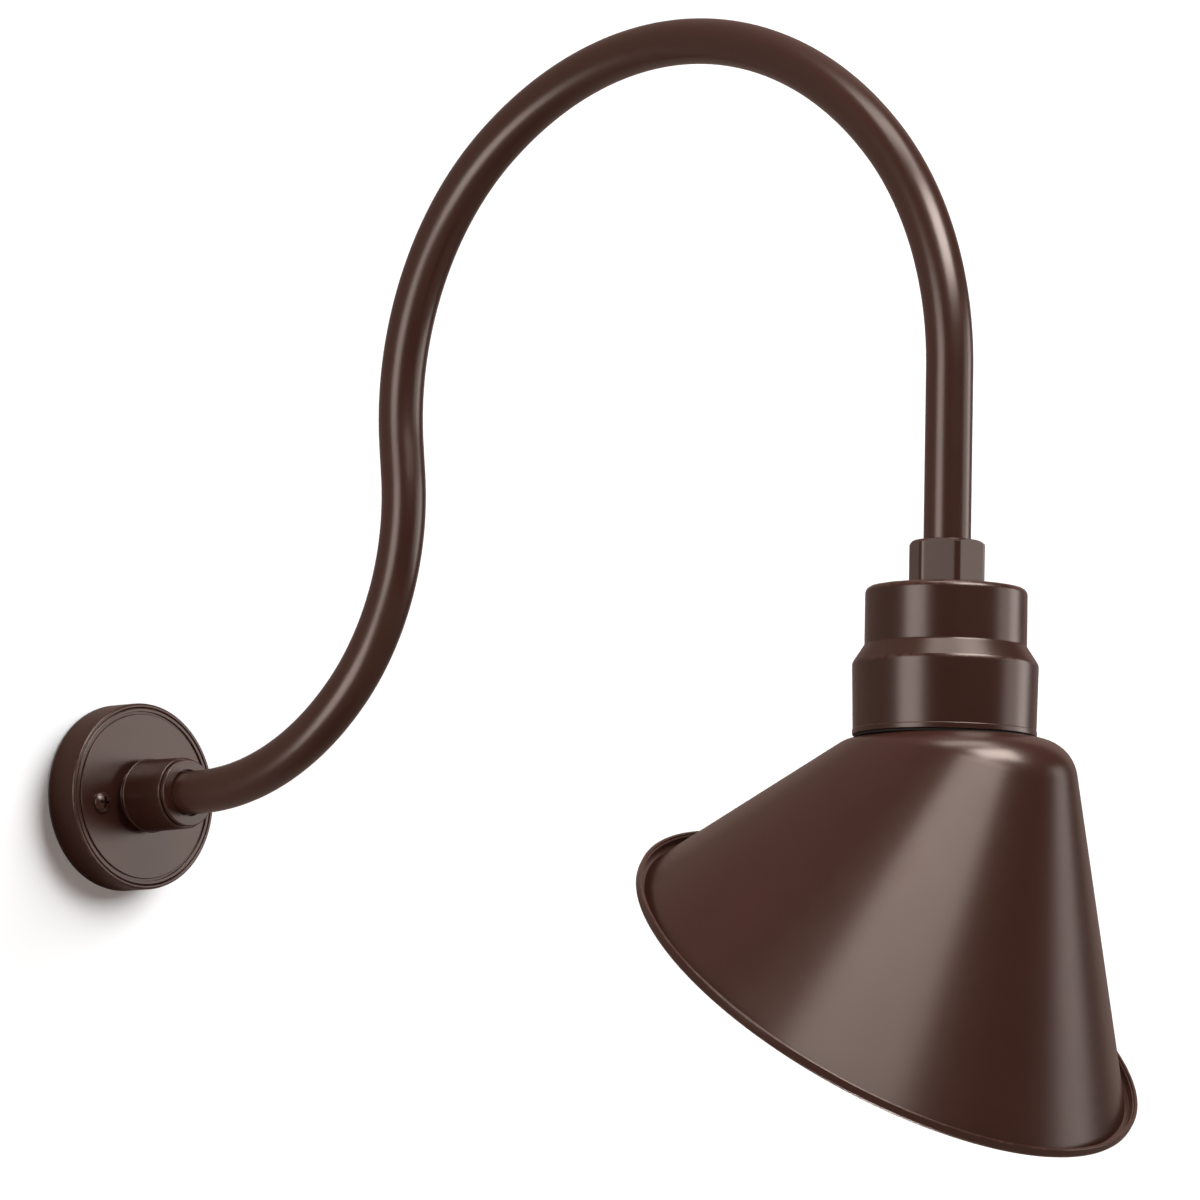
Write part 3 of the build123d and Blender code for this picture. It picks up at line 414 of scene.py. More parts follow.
def surface(name, colour, roughness, sheen_and_wear_colour=None, drift=0.25, gloss_drift=0.12, wear_and_sheen=0.0,
            grain=0.7 * MM, depth=0.01 * MM, **constant):
    """Material with the shared surface group; constant values go on the shader's own sockets."""
    made = bpy.data.materials.new(name)
    made.use_nodes = True
    tree = made.node_tree
    shader = tree.nodes["Principled BSDF"]
    worked = tree.nodes.new("ShaderNodeGroup")
    worked.node_tree = worked_surface
    worked.inputs["Colour"].default_value = paint_colour(colour)
    # edge colour and strength: lighter paint on the edges, as rubbed wear and as a painted highlight
    worked.inputs["Edge Sheen And Wear Colour"].default_value = paint_colour(sheen_and_wear_colour or colour)
    worked.inputs["Colour Drift"].default_value = drift
    worked.inputs["Roughness"].default_value = roughness
    worked.inputs["Gloss Drift"].default_value = gloss_drift
    worked.inputs["Edge Wear And Sheen"].default_value = wear_and_sheen
    worked.inputs["Grain Size"].default_value = grain
    worked.inputs["Grain Depth"].default_value = depth
    tree.links.new(worked.outputs["Colour"], shader.inputs["Base Color"])
    tree.links.new(worked.outputs["Roughness"], shader.inputs["Roughness"])
    tree.links.new(worked.outputs["Normal"], shader.inputs["Normal"])
    for socket, value in constant.items():
        shader.inputs[socket.replace("_", " ")].default_value = value
    print("material", name)
    return made


# %% [markdown]
# ## Materials
#
# The metal outside is one dark bronze powder coat: satin, with a fine orange-peel grain and edges
# that are painted a little lighter, as slight rubbing and as a painted highlight on the rounds. The inside
# of the shade is guessed to be white, as on most such shades.

# %% Materials of the visible metal
# its lighter edge colour paints rubbed wear and a highlight on the rounded edges
bronze = surface("bronze_powder_coat", "361d17", 0.29, sheen_and_wear_colour="6e5348", drift=0.20, gloss_drift=0.05,
                 wear_and_sheen=0.30, grain=0.9 * MM, depth=0.004 * MM, Specular_IOR_Level=0.85,
                 Specular_Tint=(1.0, 0.90, 0.85, 1))
reflector_white = surface("reflector_white", "efeeea", 0.32, drift=0.03, gloss_drift=0.10,
                          grain=0.9 * MM, depth=0.01 * MM)

# %% [markdown]
# ## Tools for turned pieces
#
# Most of the pieces were turned or cast round an axis. Each is drawn as half of its section, as
# rows of radius, height and rounding, and `spin` takes it round. Each row's rounding is then cut
# with `bevel`, and the middle of an outer corner's bevel is marked as an edge, where the paint is made
# lighter for rubbed wear and a painted highlight.

# %% Rings, bevels and finished objects
SHARP = radians(34)


def round_rings(bm, rounds, segments=4):
    """Bevels the ring of edges of each row that has a rounding, and marks its middle for lighter paint:
    wear and a painted highlight.
    """
    row = bm.verts.layers.int["row"]
    wear_and_sheen = bm.verts.layers.float["edge_wear_and_sheen"]
    for index, rounding in enumerate(rounds):
        if rounding:
            ring = [edge for edge in bm.edges if all(vert[row] == index for vert in edge.verts)]
            outer_corner = ring[0].is_convex
            made = bmesh.ops.bevel(bm, geom=ring, offset=rounding, offset_type="OFFSET", segments=segments,
                                   profile=0.5, affect="EDGES", clamp_overlap=False, material=-1)
            strip = set(made["faces"])
            for vert in made["verts"]:
                vert[row] = -1
                if outer_corner and all(face in strip for face in vert.link_faces):
                    vert[wear_and_sheen] = 1.0


def turned(outline, place, steps=128):
    """Half section taken round the local Z axis: rows of (radius, height, rounding)."""
    bm = bmesh.new()
    row = bm.verts.layers.int.new("row")
    bm.verts.layers.float.new("edge_wear_and_sheen")
    section = []
    for index, (radius, height, rounding) in enumerate(outline):
        vert = bm.verts.new((radius, 0, height))
        vert[row] = index
        section.append(vert)
    hollow = outline[0][0] > 0
    for near, far in zip(section, section[1:] + section[:1] if hollow else section[1:]):
        bm.edges.new((near, far))
    bmesh.ops.spin(bm, geom=bm.verts[:] + bm.edges[:], cent=(0, 0, 0), axis=(0, 0, 1), angle=2 * pi,
                   steps=steps, use_merge=True)
    bmesh.ops.remove_doubles(bm, verts=bm.verts, dist=1e-7)
    bmesh.ops.recalc_face_normals(bm, faces=bm.faces)
    round_rings(bm, [rounding for radius, height, rounding in outline])
    bmesh.ops.transform(bm, matrix=place, verts=bm.verts)
    return bm


def joined(bm, *others):
    """Adds the meshes of other pieces to the first one."""
    for other in others:
        carrier = bpy.data.meshes.new("carrier")
        other.to_mesh(carrier)
        other.free()
        bm.from_mesh(carrier)
        bpy.data.meshes.remove(carrier)
    return bm


def cut(bm, *cutters):
    """Cuts the cutters' solids out of a mesh."""
    body = bpy.data.objects.new("body", bpy.data.meshes.new("body"))
    bm.to_mesh(body.data)
    bm.free()
    bpy.context.scene.collection.objects.link(body)
    tools = []
    for cutter in cutters:
        tool = bpy.data.objects.new("tool", bpy.data.meshes.new("tool"))
        cutter.to_mesh(tool.data)
        cutter.free()
        bpy.context.scene.collection.objects.link(tool)
        boolean = body.modifiers.new("cut", "BOOLEAN")
        boolean.operation = "DIFFERENCE"
        boolean.solver = "EXACT"
        boolean.object = tool
        tools.append(tool)
    shaped = bpy.data.meshes.new_from_object(body.evaluated_get(bpy.context.evaluated_depsgraph_get()))
    result = bmesh.new()
    result.from_mesh(shaped)
    for leftover in [body] + tools:
        bpy.data.objects.remove(leftover)
    return result


def bar(width, depth, height, place):
    """Rectangular bar, centred on its place."""
    bm = bmesh.new()
    bmesh.ops.create_cube(bm, size=1, matrix=place @ Matrix.Diagonal((width, depth, height, 1)))
    return bm


def finished(bm, name, body, materials, replaced):
    """Object at the origin that rides on its body and stands for its solids."""
    for face in bm.faces:
        face.smooth = True
    for edge in bm.edges:
        edge.smooth = edge.calc_face_angle(0) < SHARP
    mesh = bpy.data.meshes.new(name)
    bm.to_mesh(mesh)
    bm.free()
    for material in materials:
        mesh.materials.append(material)
    piece = bpy.data.objects.new(name, mesh)
    bpy.context.scene.collection.objects.link(piece)
    flats = piece.modifiers.new("even_normals", "WEIGHTED_NORMAL")
    flats.keep_sharp = True
    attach(piece, body)
    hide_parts(*replaced)
    print("piece", name, "faces:", len(mesh.polygons))
    return piece


# %% [markdown]
# ## Wall plate
#
# The plate is a shallow cast cup. Two fine beads run round its front edge, cut by a shallow and a
# deeper groove, and a low seat in the middle carries the hub. It is spun from one section; the holes
# for the cover screws are cut through two bosses behind its face.

# %% Wall plate
plate_radius = (plate_high.x - plate_low.x) / 2
plate_back = -plate_high.y
plate_front = 24.2 * MM
plate_wall = 3.4 * MM
boss_radius = 19.0 * MM
hub_base = 30.0 * MM
fine_groove = 54.90 * MM                  # V-shaped, between the two beads
fine_groove_half = 0.40 * MM
fine_groove_depth = 0.8 * MM
wide_groove_outer = 52.35 * MM            # between the inner bead and the flat face
wide_groove_inner = 51.05 * MM
wide_groove_depth = 1.0 * MM
spigot_radius = 15.0 * MM
screw_circle = 34.925 * MM
screw_turn = radians(10.5)
screw_radius = 3.15 * MM
screw_hole_radius = 3.45 * MM
screw_boss_radius = 6.5 * MM
screw_boss_depth = 8.0 * MM
plate_inner_face = plate_front - plate_wall
screw_spots = [
    Vector((cos(screw_turn + half) * screw_circle, 0, sin(screw_turn + half) * screw_circle))
    for half in (0, pi)
]


def on_plate(spot, distance):
    """Place on the plate at a distance from the wall, with +Z pointing into the room."""
    return Matrix.Translation(spot + Vector((0, -distance, 0))) @ FROM_WALL


plate = turned([
    (plate_radius, plate_back, 0.3 * MM),
    (plate_radius, plate_front, 1.3 * MM),
    (fine_groove + fine_groove_half, plate_front, 0.25 * MM),
    (fine_groove, plate_front - fine_groove_depth, 0),
    (fine_groove - fine_groove_half, plate_front, 0.6 * MM),
    (wide_groove_outer, plate_front, 0.35 * MM),
    (wide_groove_outer, plate_front - wide_groove_depth, 0),
    (wide_groove_inner, plate_front - wide_groove_depth, 0),
    (wide_groove_inner, plate_front, 0.6 * MM),
    (boss_radius, plate_front, 0.5 * MM),
    (boss_radius, hub_base, 0.5 * MM),
    (spigot_radius, hub_base, 0),
    (spigot_radius, plate_inner_face, 0),
    (plate_radius - plate_wall, plate_inner_face, 1.2 * MM),
    (plate_radius - plate_wall, plate_back, 0.3 * MM),
], FROM_WALL, steps=160)
plate_bosses = [
    turned([
        (screw_hole_radius, plate_inner_face - screw_boss_depth, 0),
        (screw_boss_radius, plate_inner_face - screw_boss_depth, 0.5 * MM),
        (screw_boss_radius, plate_inner_face, 0),
        (screw_hole_radius, plate_inner_face, 0),
    ], on_plate(spot, 0), steps=48)
    for spot in screw_spots
]
plate_drills = [
    turned([(0, 0, 0), (screw_hole_radius, 0, 0), (screw_hole_radius, hub_base, 0), (0, hub_base, 0)],
           on_plate(spot, 0), steps=48)
    for spot in screw_spots
]
plate = joined(cut(plate, *plate_drills), *plate_bosses)
plate_piece = finished(plate, "wall_plate_casting", "wall_mount", [bronze], ["wall_plate"])
wall_shadow_casters.objects.link(plate_piece)

# %% [markdown]
# ## Cover screws
#
# Two pan heads with a cross recess hold the plate. The head is spun, and two crossed bars are cut
# out of it for the driver.

# %% Cover screws
head_radius = 6.4 * MM
head_edge = 1.5 * MM
head_height = 4.1 * MM
recess_span = 7.2 * MM
recess_slot = 1.8 * MM
recess_depth = 2.6 * MM
shank_end = 0.3 * MM                      # from the wall
dome_radius = (head_radius**2 + (head_height - head_edge) ** 2) / (2 * (head_height - head_edge))
dome_half_angle = asin(head_radius / dome_radius)
dome_steps = 7


def cover_screw(spot):
    """One cover screw, its head on the plate's face."""
    dome = [
        (
            dome_radius * sin(dome_half_angle * (1 - step / dome_steps)),
            head_height - dome_radius * (1 - cos(dome_half_angle * (1 - step / dome_steps))),
            0.35 * MM if step == 0 else 0,
        )
        for step in range(dome_steps)
    ]
    shank = [
        (0, shank_end - plate_front, 0),
        (screw_radius, shank_end - plate_front, 0.4 * MM),
        (screw_radius, 0, 0),
        (head_radius, 0, 0.15 * MM),
    ]
    screw = turned(shank + dome + [(0, head_height, 0)], Matrix.Identity(4), steps=64)
    arms = [
        bar(span, slot, 2 * recess_depth, Matrix.Translation((0, 0, head_height)))
        for span, slot in ((recess_span, recess_slot), (recess_slot, recess_span))
    ]
    screw = cut(screw, *arms)
    bmesh.ops.transform(screw, matrix=on_plate(spot, plate_front), verts=screw.verts)
    return screw


screws = joined(*[cover_screw(spot) for spot in screw_spots])
finished(screws, "cover_screws", "wall_mount", [bronze], ["canopy_screws"])

# %% [markdown]
# ## Hub
#
# The hub is a heavy turned socket. It stands on a low collar, a groove sets off its front ring, the
# mouth opens a little wider than the pipe, which leaves the dark gap round it, and a set screw sits in
# a hole in its side.

# %% Hub
hub_front = -hub_low.y
hub_edge = 62.5 * MM
hub_groove = 63.7 * MM
pipe_radius = 13.335 * MM
pipe_bore = 10.465 * MM
hub_bore = 13.435 * MM
hub_tail = 15.8 * MM
tail_radius = 14.9 * MM
collar_radius = 22.95 * MM
collar_top = hub_base + 1.0 * MM
barrel_radius = 22.25 * MM
barrel_front_radius = 21.85 * MM
hub_groove_radius = 19.80 * MM
front_ring_radius = 20.70 * MM
mouth_radius = 14.20 * MM
mouth_floor = hub_front - 3.0 * MM
set_screw_hole_radius = 3.05 * MM
set_screw_reach = 30.0 * MM
arm_start = 34.0 * MM
set_screw_from_wall = 48.0 * MM
hub = turned([
    (pipe_bore, hub_tail, 0),
    (tail_radius, hub_tail, 0.4 * MM),
    (tail_radius, hub_base, 0),
    (collar_radius, hub_base, 0.3 * MM),
    (collar_radius, collar_top, 0.6 * MM),
    (barrel_radius, collar_top, 0),
    (barrel_front_radius, hub_edge, 0.9 * MM),
    (hub_groove_radius, hub_edge, 0.2 * MM),
    (hub_groove_radius, hub_groove, 0.2 * MM),
    (front_ring_radius, hub_groove, 0.3 * MM),
    (front_ring_radius, hub_front, 0.9 * MM),
    (mouth_radius, hub_front, 0.4 * MM),
    (mouth_radius, mouth_floor, 0),
    (hub_bore, mouth_floor, 0),
    (hub_bore, arm_start, 0),
    (pipe_bore, arm_start, 0),
], FROM_WALL)
set_screw_hole = turned([
    (0, hub_bore - 1.0 * MM, 0),
    (set_screw_hole_radius, hub_bore - 1.0 * MM, 0),
    (set_screw_hole_radius, set_screw_reach, 0),
    (0, set_screw_reach, 0),
], Matrix.Translation((0, -set_screw_from_wall, 0)) @ Matrix.Rotation(pi / 2, 4, "Y"), steps=40)
hub = cut(hub, set_screw_hole)
hub_piece = finished(hub, "hub_casting", "wall_mount", [bronze], ["arm_hub"])
wall_shadow_casters.objects.link(hub_piece)

# %% [markdown]
# ## The bent pipe
#
# A pipe bender works with straight runs and arcs, and so does this piece: two circles, the outside
# and the bore of the pipe, are taken along. `spin` turns them through each bend and a plain extrude
# carries them along each straight run. At the end the two skins are bridged at both ends.

# %% Gooseneck pipe
hub_straight = 75.7 * MM
bends = [                             # kind, bend radius or length, degrees about the X axis
    ("bend", 188.0 * MM, -45.0),      # from the hub upwards
    ("bend", 154.0 * MM, -51.4),      # on past the vertical, towards the wall
    ("run", 19.4 * MM, 0),
    ("bend", 186.0 * MM, 60.6),       # loop: the side nearer the wall
    ("bend", 245.0 * MM, 82.6),       # loop: over the top
    ("bend", 197.0 * MM, 43.2),       # loop: down to the vertical
    ("run", 138.3 * MM, 0),
]
BEND_STEP = radians(1.5)
PIPE_SIDES = 64


def only(kind, parts):
    """The vertices, edges or faces among the parts of a mesh."""
    return [part for part in parts if isinstance(part, kind)]


pipe = bmesh.new()
across = Matrix.Translation((0, -arm_start, 0)) @ FROM_WALL
for radius in (pipe_radius, pipe_bore):
    bmesh.ops.create_circle(pipe, segments=PIPE_SIDES, radius=radius, matrix=across)
start_ring = pipe.edges[:]
ring = pipe.verts[:] + pipe.edges[:]
here = Vector((0, -arm_start, 0))
heading = Vector((0, -1, 0))
for kind, size, angle in [("run", hub_straight - arm_start, 0)] + bends:
    if kind == "run":
        ring = bmesh.ops.extrude_edge_only(pipe, edges=only(bmesh.types.BMEdge, ring))["geom"]
        bmesh.ops.translate(pipe, vec=heading * size, verts=only(bmesh.types.BMVert, ring))
        here = here + heading * size
    else:
        side = 1 if angle > 0 else -1
        centre = here + Vector((0, -heading.z, heading.y)) * size * side
        steps = round(abs(radians(angle)) / BEND_STEP)
        made = bmesh.ops.spin(pipe, geom=ring, cent=centre, axis=(1, 0, 0), angle=radians(angle),
                              steps=steps)
        ring = made["geom_last"]
        rotation = Matrix.Rotation(radians(angle), 3, "X")
        here = centre + rotation @ (here - centre)
        heading = rotation @ heading
    ring = only(bmesh.types.BMVert, ring) + only(bmesh.types.BMEdge, ring)
bmesh.ops.bridge_loops(pipe, edges=start_ring)
bmesh.ops.bridge_loops(pipe, edges=only(bmesh.types.BMEdge, ring))
bmesh.ops.recalc_face_normals(pipe, faces=pipe.faces)
pipe_piece = finished(pipe, "gooseneck_pipe", "wall_mount", [bronze], ["gooseneck_arm"])
only_the_pipe.objects.link(pipe_piece)

# %% [markdown]
# ## Stem nut
#
# The tall hexagon nut is drawn as a ring whose radius follows the hexagon. Its top is turned as a low
# dome, so it falls deepest at the corners and leaves the curved lines of a real nut.

# %% Stem nut
nut_flat_radius = 19.2 * MM
nut_bore = 13.4 * MM
nut_top_circle = 17.6 * MM
nut_top_drop = 3.0 * MM              # how far the corners fall below the top
NUT_STEPS = 144
HALF_FACE = radians(30)
nut_corner_round = radians(3)
nut_corner_radius = nut_flat_radius / cos(HALF_FACE)


def hexagon_radius(angle):
    """Radius of the hexagon, corners on the X axis, each corner slightly rounded."""
    from_corner = (angle + HALF_FACE) % (2 * HALF_FACE) - HALF_FACE
    off_flat = HALF_FACE - max(abs(from_corner), nut_corner_round)
    return nut_flat_radius / cos(off_flat)


def ring_stack(rows, rounds, steps, material_rows=()):
    """Closed skin of rings: each row gives the point for a turn; listed rows change the material."""
    bm = bmesh.new()
    row = bm.verts.layers.int.new("row")
    bm.verts.layers.float.new("edge_wear_and_sheen")
    angle = bm.verts.layers.float.new("turn")
    bmesh.ops.create_circle(bm, segments=steps, radius=1)
    for vert in bm.verts:
        vert[angle] = atan2(vert.co.y, vert.co.x)
        vert.co = rows[0](vert[angle])
    ring = bm.edges[:]
    first_ring = ring
    for index, place in enumerate(rows[1:], start=1):
        made = bmesh.ops.extrude_edge_only(bm, edges=ring)["geom"]
        for vert in only(bmesh.types.BMVert, made):
            vert.co = place(vert[angle])
            vert[row] = index
        for face in only(bmesh.types.BMFace, made):
            face.material_index = int(index in material_rows)
        ring = only(bmesh.types.BMEdge, made)
    bmesh.ops.bridge_loops(bm, edges=first_ring + ring)
    bmesh.ops.recalc_face_normals(bm, faces=bm.faces)
    round_rings(bm, rounds)
    return bm


def nut_row(radius_at, height_at):
    """Row of the nut: radius and height as functions of the turn."""
    def place(angle):
        radius = radius_at(angle)
        return Vector((radius * cos(angle), stem_y + radius * sin(angle), height_at(radius)))
    return place


def dome_radius_at(share):
    """Radius between the top's flat circle (0) and the hexagon (1), as a function of the turn."""
    return lambda angle: nut_top_circle + (hexagon_radius(angle) - nut_top_circle) * share


def dome_height(radius):
    """Height of the turned top: flat in the middle, falling faster and faster to the corners."""
    share = (radius - nut_top_circle) / (nut_corner_radius - nut_top_circle)
    return nut_high.z - nut_top_drop * share**2


nut = ring_stack([
    nut_row(lambda angle: nut_bore, lambda radius: nut_low.z),
    nut_row(hexagon_radius, lambda radius: nut_low.z),
    nut_row(dome_radius_at(1), dome_height),
    nut_row(dome_radius_at(0.72), dome_height),
    nut_row(dome_radius_at(0.40), dome_height),
    nut_row(dome_radius_at(0), dome_height),
    nut_row(lambda angle: nut_bore, lambda radius: nut_high.z),
], [0, 0.35 * MM, 0, 0, 0, 0, 0.3 * MM], NUT_STEPS)
finished(nut, "stem_hexagon_nut", "stem_nut", [bronze], ["stem_nut"])

# %% [markdown]
# ## Socket housing
#
# The housing is one turned casting in two tiers with a sloping step. Inside, three posts take the
# shade's screws and two long posts carry the lampholder.

# %% Socket housing
top_radius = 45.5 * MM
lower_radius = (housing_high.x - housing_low.x) / 2
foot_radius = 51.7 * MM
foot_height = 3.0 * MM                           # plain band above the joint with the shade
foot_step = 0.3 * MM
housing_wall = 3.5 * MM
skirt_top = housing_low.z + 40.4 * MM
shoulder_top = skirt_top + 10.4 * MM
roof_inside = housing_high.z - 4.0 * MM
stem_boss_end = housing_high.z - 16.0 * MM
stem_bore = 13.4 * MM
boss_wall = 5.6 * MM
post_radius = 4.5 * MM
post_drill = 2.05 * MM
rib_width = 4.0 * MM
post_circle = 35.0 * MM
post_height = 16.0 * MM
long_post_circle = 33.0 * MM
long_post_foot = housing_high.z - 29.0 * MM
housing = turned([
    (stem_bore, housing_high.z, 0.4 * MM),
    (top_radius, housing_high.z, 3.8 * MM),
    (top_radius, shoulder_top, 0.7 * MM),
    (lower_radius, skirt_top, 1.4 * MM),
    (foot_radius - foot_step, housing_low.z + foot_height + foot_step, 0),
    (foot_radius, housing_low.z + foot_height, 0.25 * MM),
    (foot_radius, housing_low.z, 0.5 * MM),
    (foot_radius - housing_wall, housing_low.z, 0.3 * MM),
    (lower_radius - housing_wall, skirt_top - housing_wall / 2, 0),
    (top_radius - housing_wall, shoulder_top - housing_wall / 2, 0),
    (top_radius - housing_wall, roof_inside, 1.5 * MM),
    (stem_bore + boss_wall, roof_inside, 0),
    (stem_bore + boss_wall, stem_boss_end, 0.5 * MM),
    (stem_bore, stem_boss_end, 0),
], ON_STEM)


def post(angle, circle, low, high):
    """Round post inside the housing, on a circle about the stem."""
    return turned([
        (post_drill, low, 0),
        (post_radius, low, 0.4 * MM),
        (post_radius, high, 0),
        (post_drill, high, 0),
    ], Matrix.Translation((circle * cos(angle), stem_y + circle * sin(angle), 0)), 32)


def rib(angle):
    """Flat rib between a post and the skirt."""
    middle = Vector(((post_circle + foot_radius - housing_wall) / 2, 0, housing_low.z + post_height / 2))
    spot = ON_STEM @ Matrix.Rotation(angle, 4, "Z") @ Matrix.Translation(middle)
    return bar(foot_radius - housing_wall / 2 - post_circle, rib_width, post_height, spot)


shade_posts = [radians(90 + 120 * index) for index in range(3)]
post_top = housing_low.z + post_height
inner_posts = [post(angle, post_circle, housing_low.z, post_top) for angle in shade_posts]
inner_posts += [post(angle, long_post_circle, long_post_foot, roof_inside) for angle in (0, pi)]
inner_posts += [rib(angle) for angle in shade_posts]
housing = joined(housing, *inner_posts)
finished(housing, "socket_housing", "head", [bronze], ["housing"])

# %% [markdown]
# ## Shade seal
#
# A flat rubber ring lies in the joint between the housing and the shade. Its round edge comes out
# nearly to the housing's foot, and shows as the black line of the joint.

# %% Shade seal
seal_bore = 28.0 * MM
seal_setback = 0.9 * MM
seal_reach = foot_radius - seal_setback
seal = turned([
    (seal_bore, shade_high.z, 0),
    (seal_reach, shade_high.z, 0.5 * MM),
    (seal_reach, housing_low.z, 0.5 * MM),
    (seal_bore, housing_low.z, 0),
], ON_STEM)
black_rubber = surface("black_rubber", "141414", 0.72, drift=0.3, gloss_drift=0.15,
                       grain=0.4 * MM, depth=0.02 * MM)
finished(seal, "shade_seal_ring", "head", [black_rubber], ["shade_seal"])

# %% [markdown]
# ## Shade
#
# The shade is a spun cone that leans on a tilted round mouth, with a level crown under the housing
# and a rounded shoulder between the two. A ball rolled along the corner of cone and crown draws that
# shoulder, so its touching line is worked out for every turn. The rim runs out flat as a gutter and
# turns up as a thick hem with a small step on its inner side. All of it is one closed skin of rings,
# made with `extrude`.

# %% Shade
shade_thickness = 1.4 * MM
crown_top = shade_high.z
mouth_tilt = radians(36.9)
mouth_x = Vector((1, 0, 0))
mouth_y = Vector((0, cos(mouth_tilt), sin(mouth_tilt)))
mouth_z = Vector((0, -sin(mouth_tilt), cos(mouth_tilt)))
cone_radius = 150.9 * MM
cone_angle = radians(31.83)
cone_slope = tan(cone_angle)
lean_slope = tan(radians(6.31))
cone_top_radius = 49.0 * MM
cone_top_from_stem = 41.0 * MM
cone_height = (cone_radius - cone_top_radius) / cone_slope
cone_top = Vector((0, stem_y - cone_top_from_stem, crown_top))
mouth_centre = cone_top - (mouth_z + mouth_y * lean_slope) * cone_height
inner_cone_radius = cone_radius - shade_thickness / cos(cone_angle)
front_shoulder = 27.0 * MM
wall_shoulder = 16.0 * MM
SHOULDER_EASE = 1.5                   # how fast the shoulder's radius changes on its way round
crown_hole = 27.5 * MM
rim_radius = 156.0 * MM
gutter_height = 1.0 * MM
lip_height = 6.2 * MM
hem_width = 3.0 * MM
hem_step_width = 1.1 * MM
hem_step_height = 1.0 * MM
SHADE_STEPS = 224
SHOULDER_ROWS = 12
CONE_ROWS = 16


def round_mouth(angle):
    """Direction across the mouth for a turn about its axis."""
    return mouth_x * cos(angle) + mouth_y * sin(angle)


def cone_point(angle, height, radius):
    """Point of the leaning cone, at a height above the mouth's plane."""
    middle = mouth_centre + mouth_z * height + mouth_y * lean_slope * height
    return middle + round_mouth(angle) * (radius - cone_slope * height)


def ball(angle, radius, inset, crown):
    """Ball inside the cone's and the crown's corner: centre, cone direction, height and radius."""
    to_front = ((1 - sin(angle)) / 2) ** SHOULDER_EASE
    ball_radius = wall_shoulder + (front_shoulder - wall_shoulder) * to_front - inset
    along = mouth_z + mouth_y * lean_slope - round_mouth(angle) * cone_slope
    outward = round_mouth(angle + pi / 2).cross(along).normalized()
    foot = cone_point(angle, 0, radius)
    height = (crown - ball_radius + ball_radius * outward.z - foot.z) / along.z
    return cone_point(angle, height, radius) - outward * ball_radius, outward, height, ball_radius


def crown_row(share, radius, inset, crown):
    """Row on the flat crown, from the hole (0) to where the shoulder starts (1)."""
    def place(angle):
        centre, outward, height, ball_radius = ball(angle, radius, inset, crown)
        touch = centre + Vector((0, 0, ball_radius))
        out = Vector((touch.x, touch.y - stem_y, 0))
        edge = Vector((0, stem_y, crown)) + out.normalized() * crown_hole
        return edge.lerp(touch, share)
    return place


def shoulder_row(share, radius, inset, crown):
    """Row on the rounded shoulder, from the crown (0) to the cone (1)."""
    def place(angle):
        centre, outward, height, ball_radius = ball(angle, radius, inset, crown)
        return centre + Vector((0, 0, 1)).slerp(outward, share) * ball_radius
    return place


def cone_row(share, radius, inset, crown, foot):
    """Row on the cone, from the shoulder (0) to the foot's height (1)."""
    def place(angle):
        height = ball(angle, radius, inset, crown)[2]
        return cone_point(angle, height + (foot - height) * share, radius)
    return place


def rim_row(radius, height):
    """Row of the rim, round about the mouth's own axis."""
    return lambda angle: mouth_centre + mouth_z * height + round_mouth(angle) * radius


def shade_skin(radius, inset, crown, foot):
    """Rows of one skin of the shade, from the crown's hole down to the cone's foot."""
    shoulder_shares = [(step + 1) / SHOULDER_ROWS for step in range(SHOULDER_ROWS)]
    cone_shares = [(step + 1) / CONE_ROWS for step in range(CONE_ROWS)]
    rows = [crown_row(share, radius, inset, crown) for share in (0, 0.5, 1)]
    rows += [shoulder_row(share, radius, inset, crown) for share in shoulder_shares]
    rows += [cone_row(share, radius, inset, crown, foot) for share in cone_shares]
    return rows


outer_rows = shade_skin(cone_radius, 0, crown_top, gutter_height)
hem_radius = rim_radius - hem_width
step_height = lip_height - hem_step_height
rim = [
    (hem_radius, gutter_height, 0.3 * MM),
    (hem_radius, step_height, 0.4 * MM),
    (hem_radius + hem_step_width, step_height, 0),
    (hem_radius + hem_step_width, lip_height, 0.4 * MM),
    (rim_radius, lip_height, 0.8 * MM),
    (rim_radius, 0, 2.4 * MM),
]
inner_rows = shade_skin(inner_cone_radius, shade_thickness, crown_top - shade_thickness, 0)[::-1]
rim_rows = [rim_row(radius, height) for radius, height, rounding in rim]
rounds = [0] * len(outer_rows) + [rounding for radius, height, rounding in rim] + [0] * len(inner_rows)
first_inner = len(outer_rows) + len(rim)
white_rows = range(first_inner + 1, first_inner + len(inner_rows))
shade = ring_stack(outer_rows + rim_rows + inner_rows, rounds, SHADE_STEPS, white_rows)
coats = [bronze, reflector_white]
shade_piece = finished(shade, "angle_shade", "head", coats, ["shade"])
only_the_shade.objects.link(shade_piece)
leave_out(not_the_shade, shade_piece)

# %% [markdown]
# ## Materials of the pieces inside
#
# The pieces inside the housing and behind the plate keep their solids. Each one gets the material
# that such a piece has: plated steel, brass, porcelain, rubber, foam and plastics.

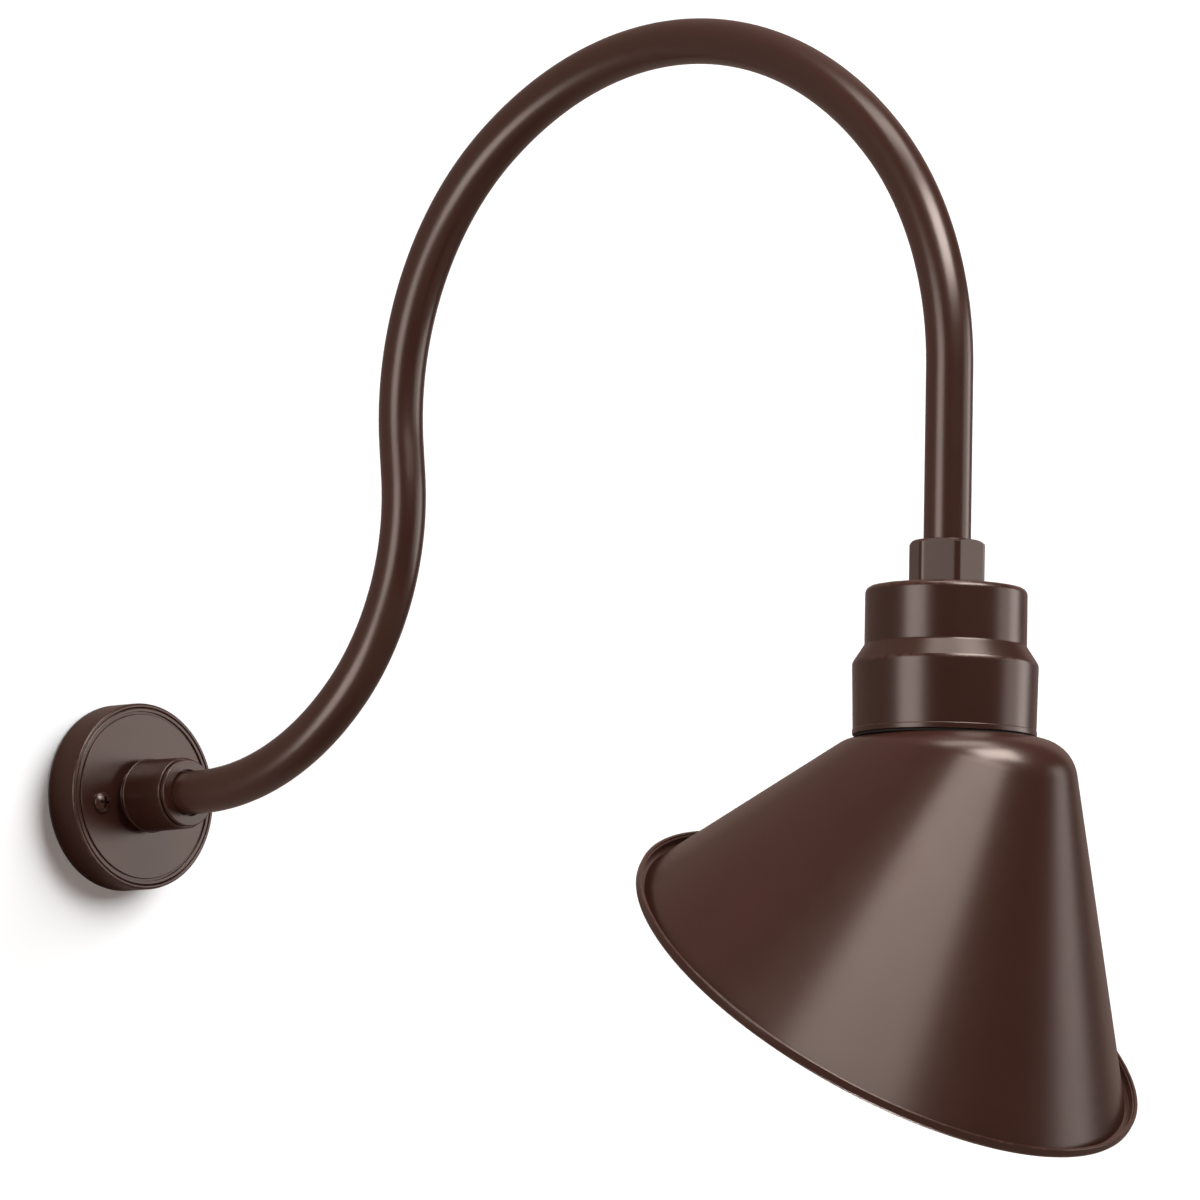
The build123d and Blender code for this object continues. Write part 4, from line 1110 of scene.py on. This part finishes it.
# %% Inside materials
inside = [
    (surface("zinc_plated_steel", "b4b6b4", 0.34, drift=0.18, gloss_drift=0.25,
             grain=0.5 * MM, depth=0.006 * MM, Metallic=1.0),
     ["mounting_bracket", "hub_locknut", "clamp_ring", "clamp_screws", "holder_bracket",
      "bracket_screws", "holder_screws"]),
    (surface("green_dyed_zinc", "1f6b38", 0.32, drift=0.2, gloss_drift=0.2,
             grain=0.5 * MM, depth=0.006 * MM, Metallic=0.8),
     ["ground_screw"]),
    (surface("rolled_brass", "c9a45c", 0.28, drift=0.2, gloss_drift=0.2,
             grain=0.4 * MM, depth=0.004 * MM, Metallic=1.0),
     ["lampholder_shell", "centre_contact", "terminal_screws", "lamp_button"]),
    (surface("glazed_porcelain", "ebe9e1", 0.14, drift=0.04, gloss_drift=0.06,
             grain=3.0 * MM, depth=0.03 * MM),
     ["lampholder_body"]),
    (surface("cell_foam", "4a4a48", 0.9, drift=0.3, gloss_drift=0.1,
             grain=0.8 * MM, depth=0.25 * MM),
     ["wall_gasket"]),
    (black_rubber, ["hub_bushing", "stem_bushing"]),
    (surface("cable_sheath", "262626", 0.6, drift=0.2, gloss_drift=0.15,
             grain=0.5 * MM, depth=0.02 * MM),
     ["supply_cable"]),
    (surface("black_core", "121212", 0.42, grain=0.4 * MM, depth=0.01 * MM),
     ["wall_line_lead", "socket_line_lead"]),
    (surface("white_core", "e2e1da", 0.42, drift=0.06, grain=0.4 * MM, depth=0.01 * MM),
     ["wall_neutral_lead", "socket_neutral_lead"]),
    (surface("green_core", "1f7a33", 0.42, drift=0.1, grain=0.4 * MM, depth=0.01 * MM),
     ["ground_lead"]),
    (surface("orange_plastic", "d96a1c", 0.38, drift=0.08, grain=0.5 * MM, depth=0.012 * MM),
     ["wire_connectors"]),
    (surface("cap_aluminium", "cfcfcd", 0.26, drift=0.1, gloss_drift=0.2,
             grain=0.4 * MM, depth=0.004 * MM, Metallic=1.0),
     ["lamp_cap"]),
    (surface("dark_insulator", "1a141c", 0.18, drift=0.2, grain=0.8 * MM, depth=0.006 * MM),
     ["lamp_insulator"]),
    (surface("lamp_plastic", "e8e7e2", 0.30, drift=0.03, gloss_drift=0.06,
             grain=0.6 * MM, depth=0.006 * MM),
     ["lamp_body"]),
    (surface("board_coat", "e6e6e4", 0.45, drift=0.05, grain=0.5 * MM, depth=0.006 * MM),
     ["lamp_board"]),
    (surface("opal_diffuser", "f3f1ea", 0.36, drift=0.02, gloss_drift=0.04,
             grain=0.5 * MM, depth=0.006 * MM, Subsurface_Weight=0.25),
     ["lamp_diffuser"]),
    (bronze, ["hub_set_screw"]),
]
for material, names in inside:
    for name in names:
        solid = nodes[name]
        if not solid.material_slots:
            solid.data.materials.append(material)
        for place in solid.material_slots:
            place.material = material
print("solids with their own material:", sum(len(names) for material, names in inside))

# %% Light for the pieces inside
behind = ["wall_gasket", "mounting_bracket", "ground_screw", "hub_locknut", "hub_bushing",
          "wall_line_lead", "wall_neutral_lead", "ground_lead", "wire_connectors"]
below = ["clamp_ring", "clamp_screws", "holder_bracket", "bracket_screws", "holder_screws",
         "lampholder_body", "lampholder_shell", "lamp_cap", "lamp_insulator", "lamp_body",
         "lamp_diffuser"]
for name in behind:
    seen_from_behind.objects.link(nodes[name])
for name in below:
    seen_from_below.objects.link(nodes[name])
seen_from_below.objects.link(shade_piece)
print("lit from behind:", len(behind), "and from below:", len(below) + 1)
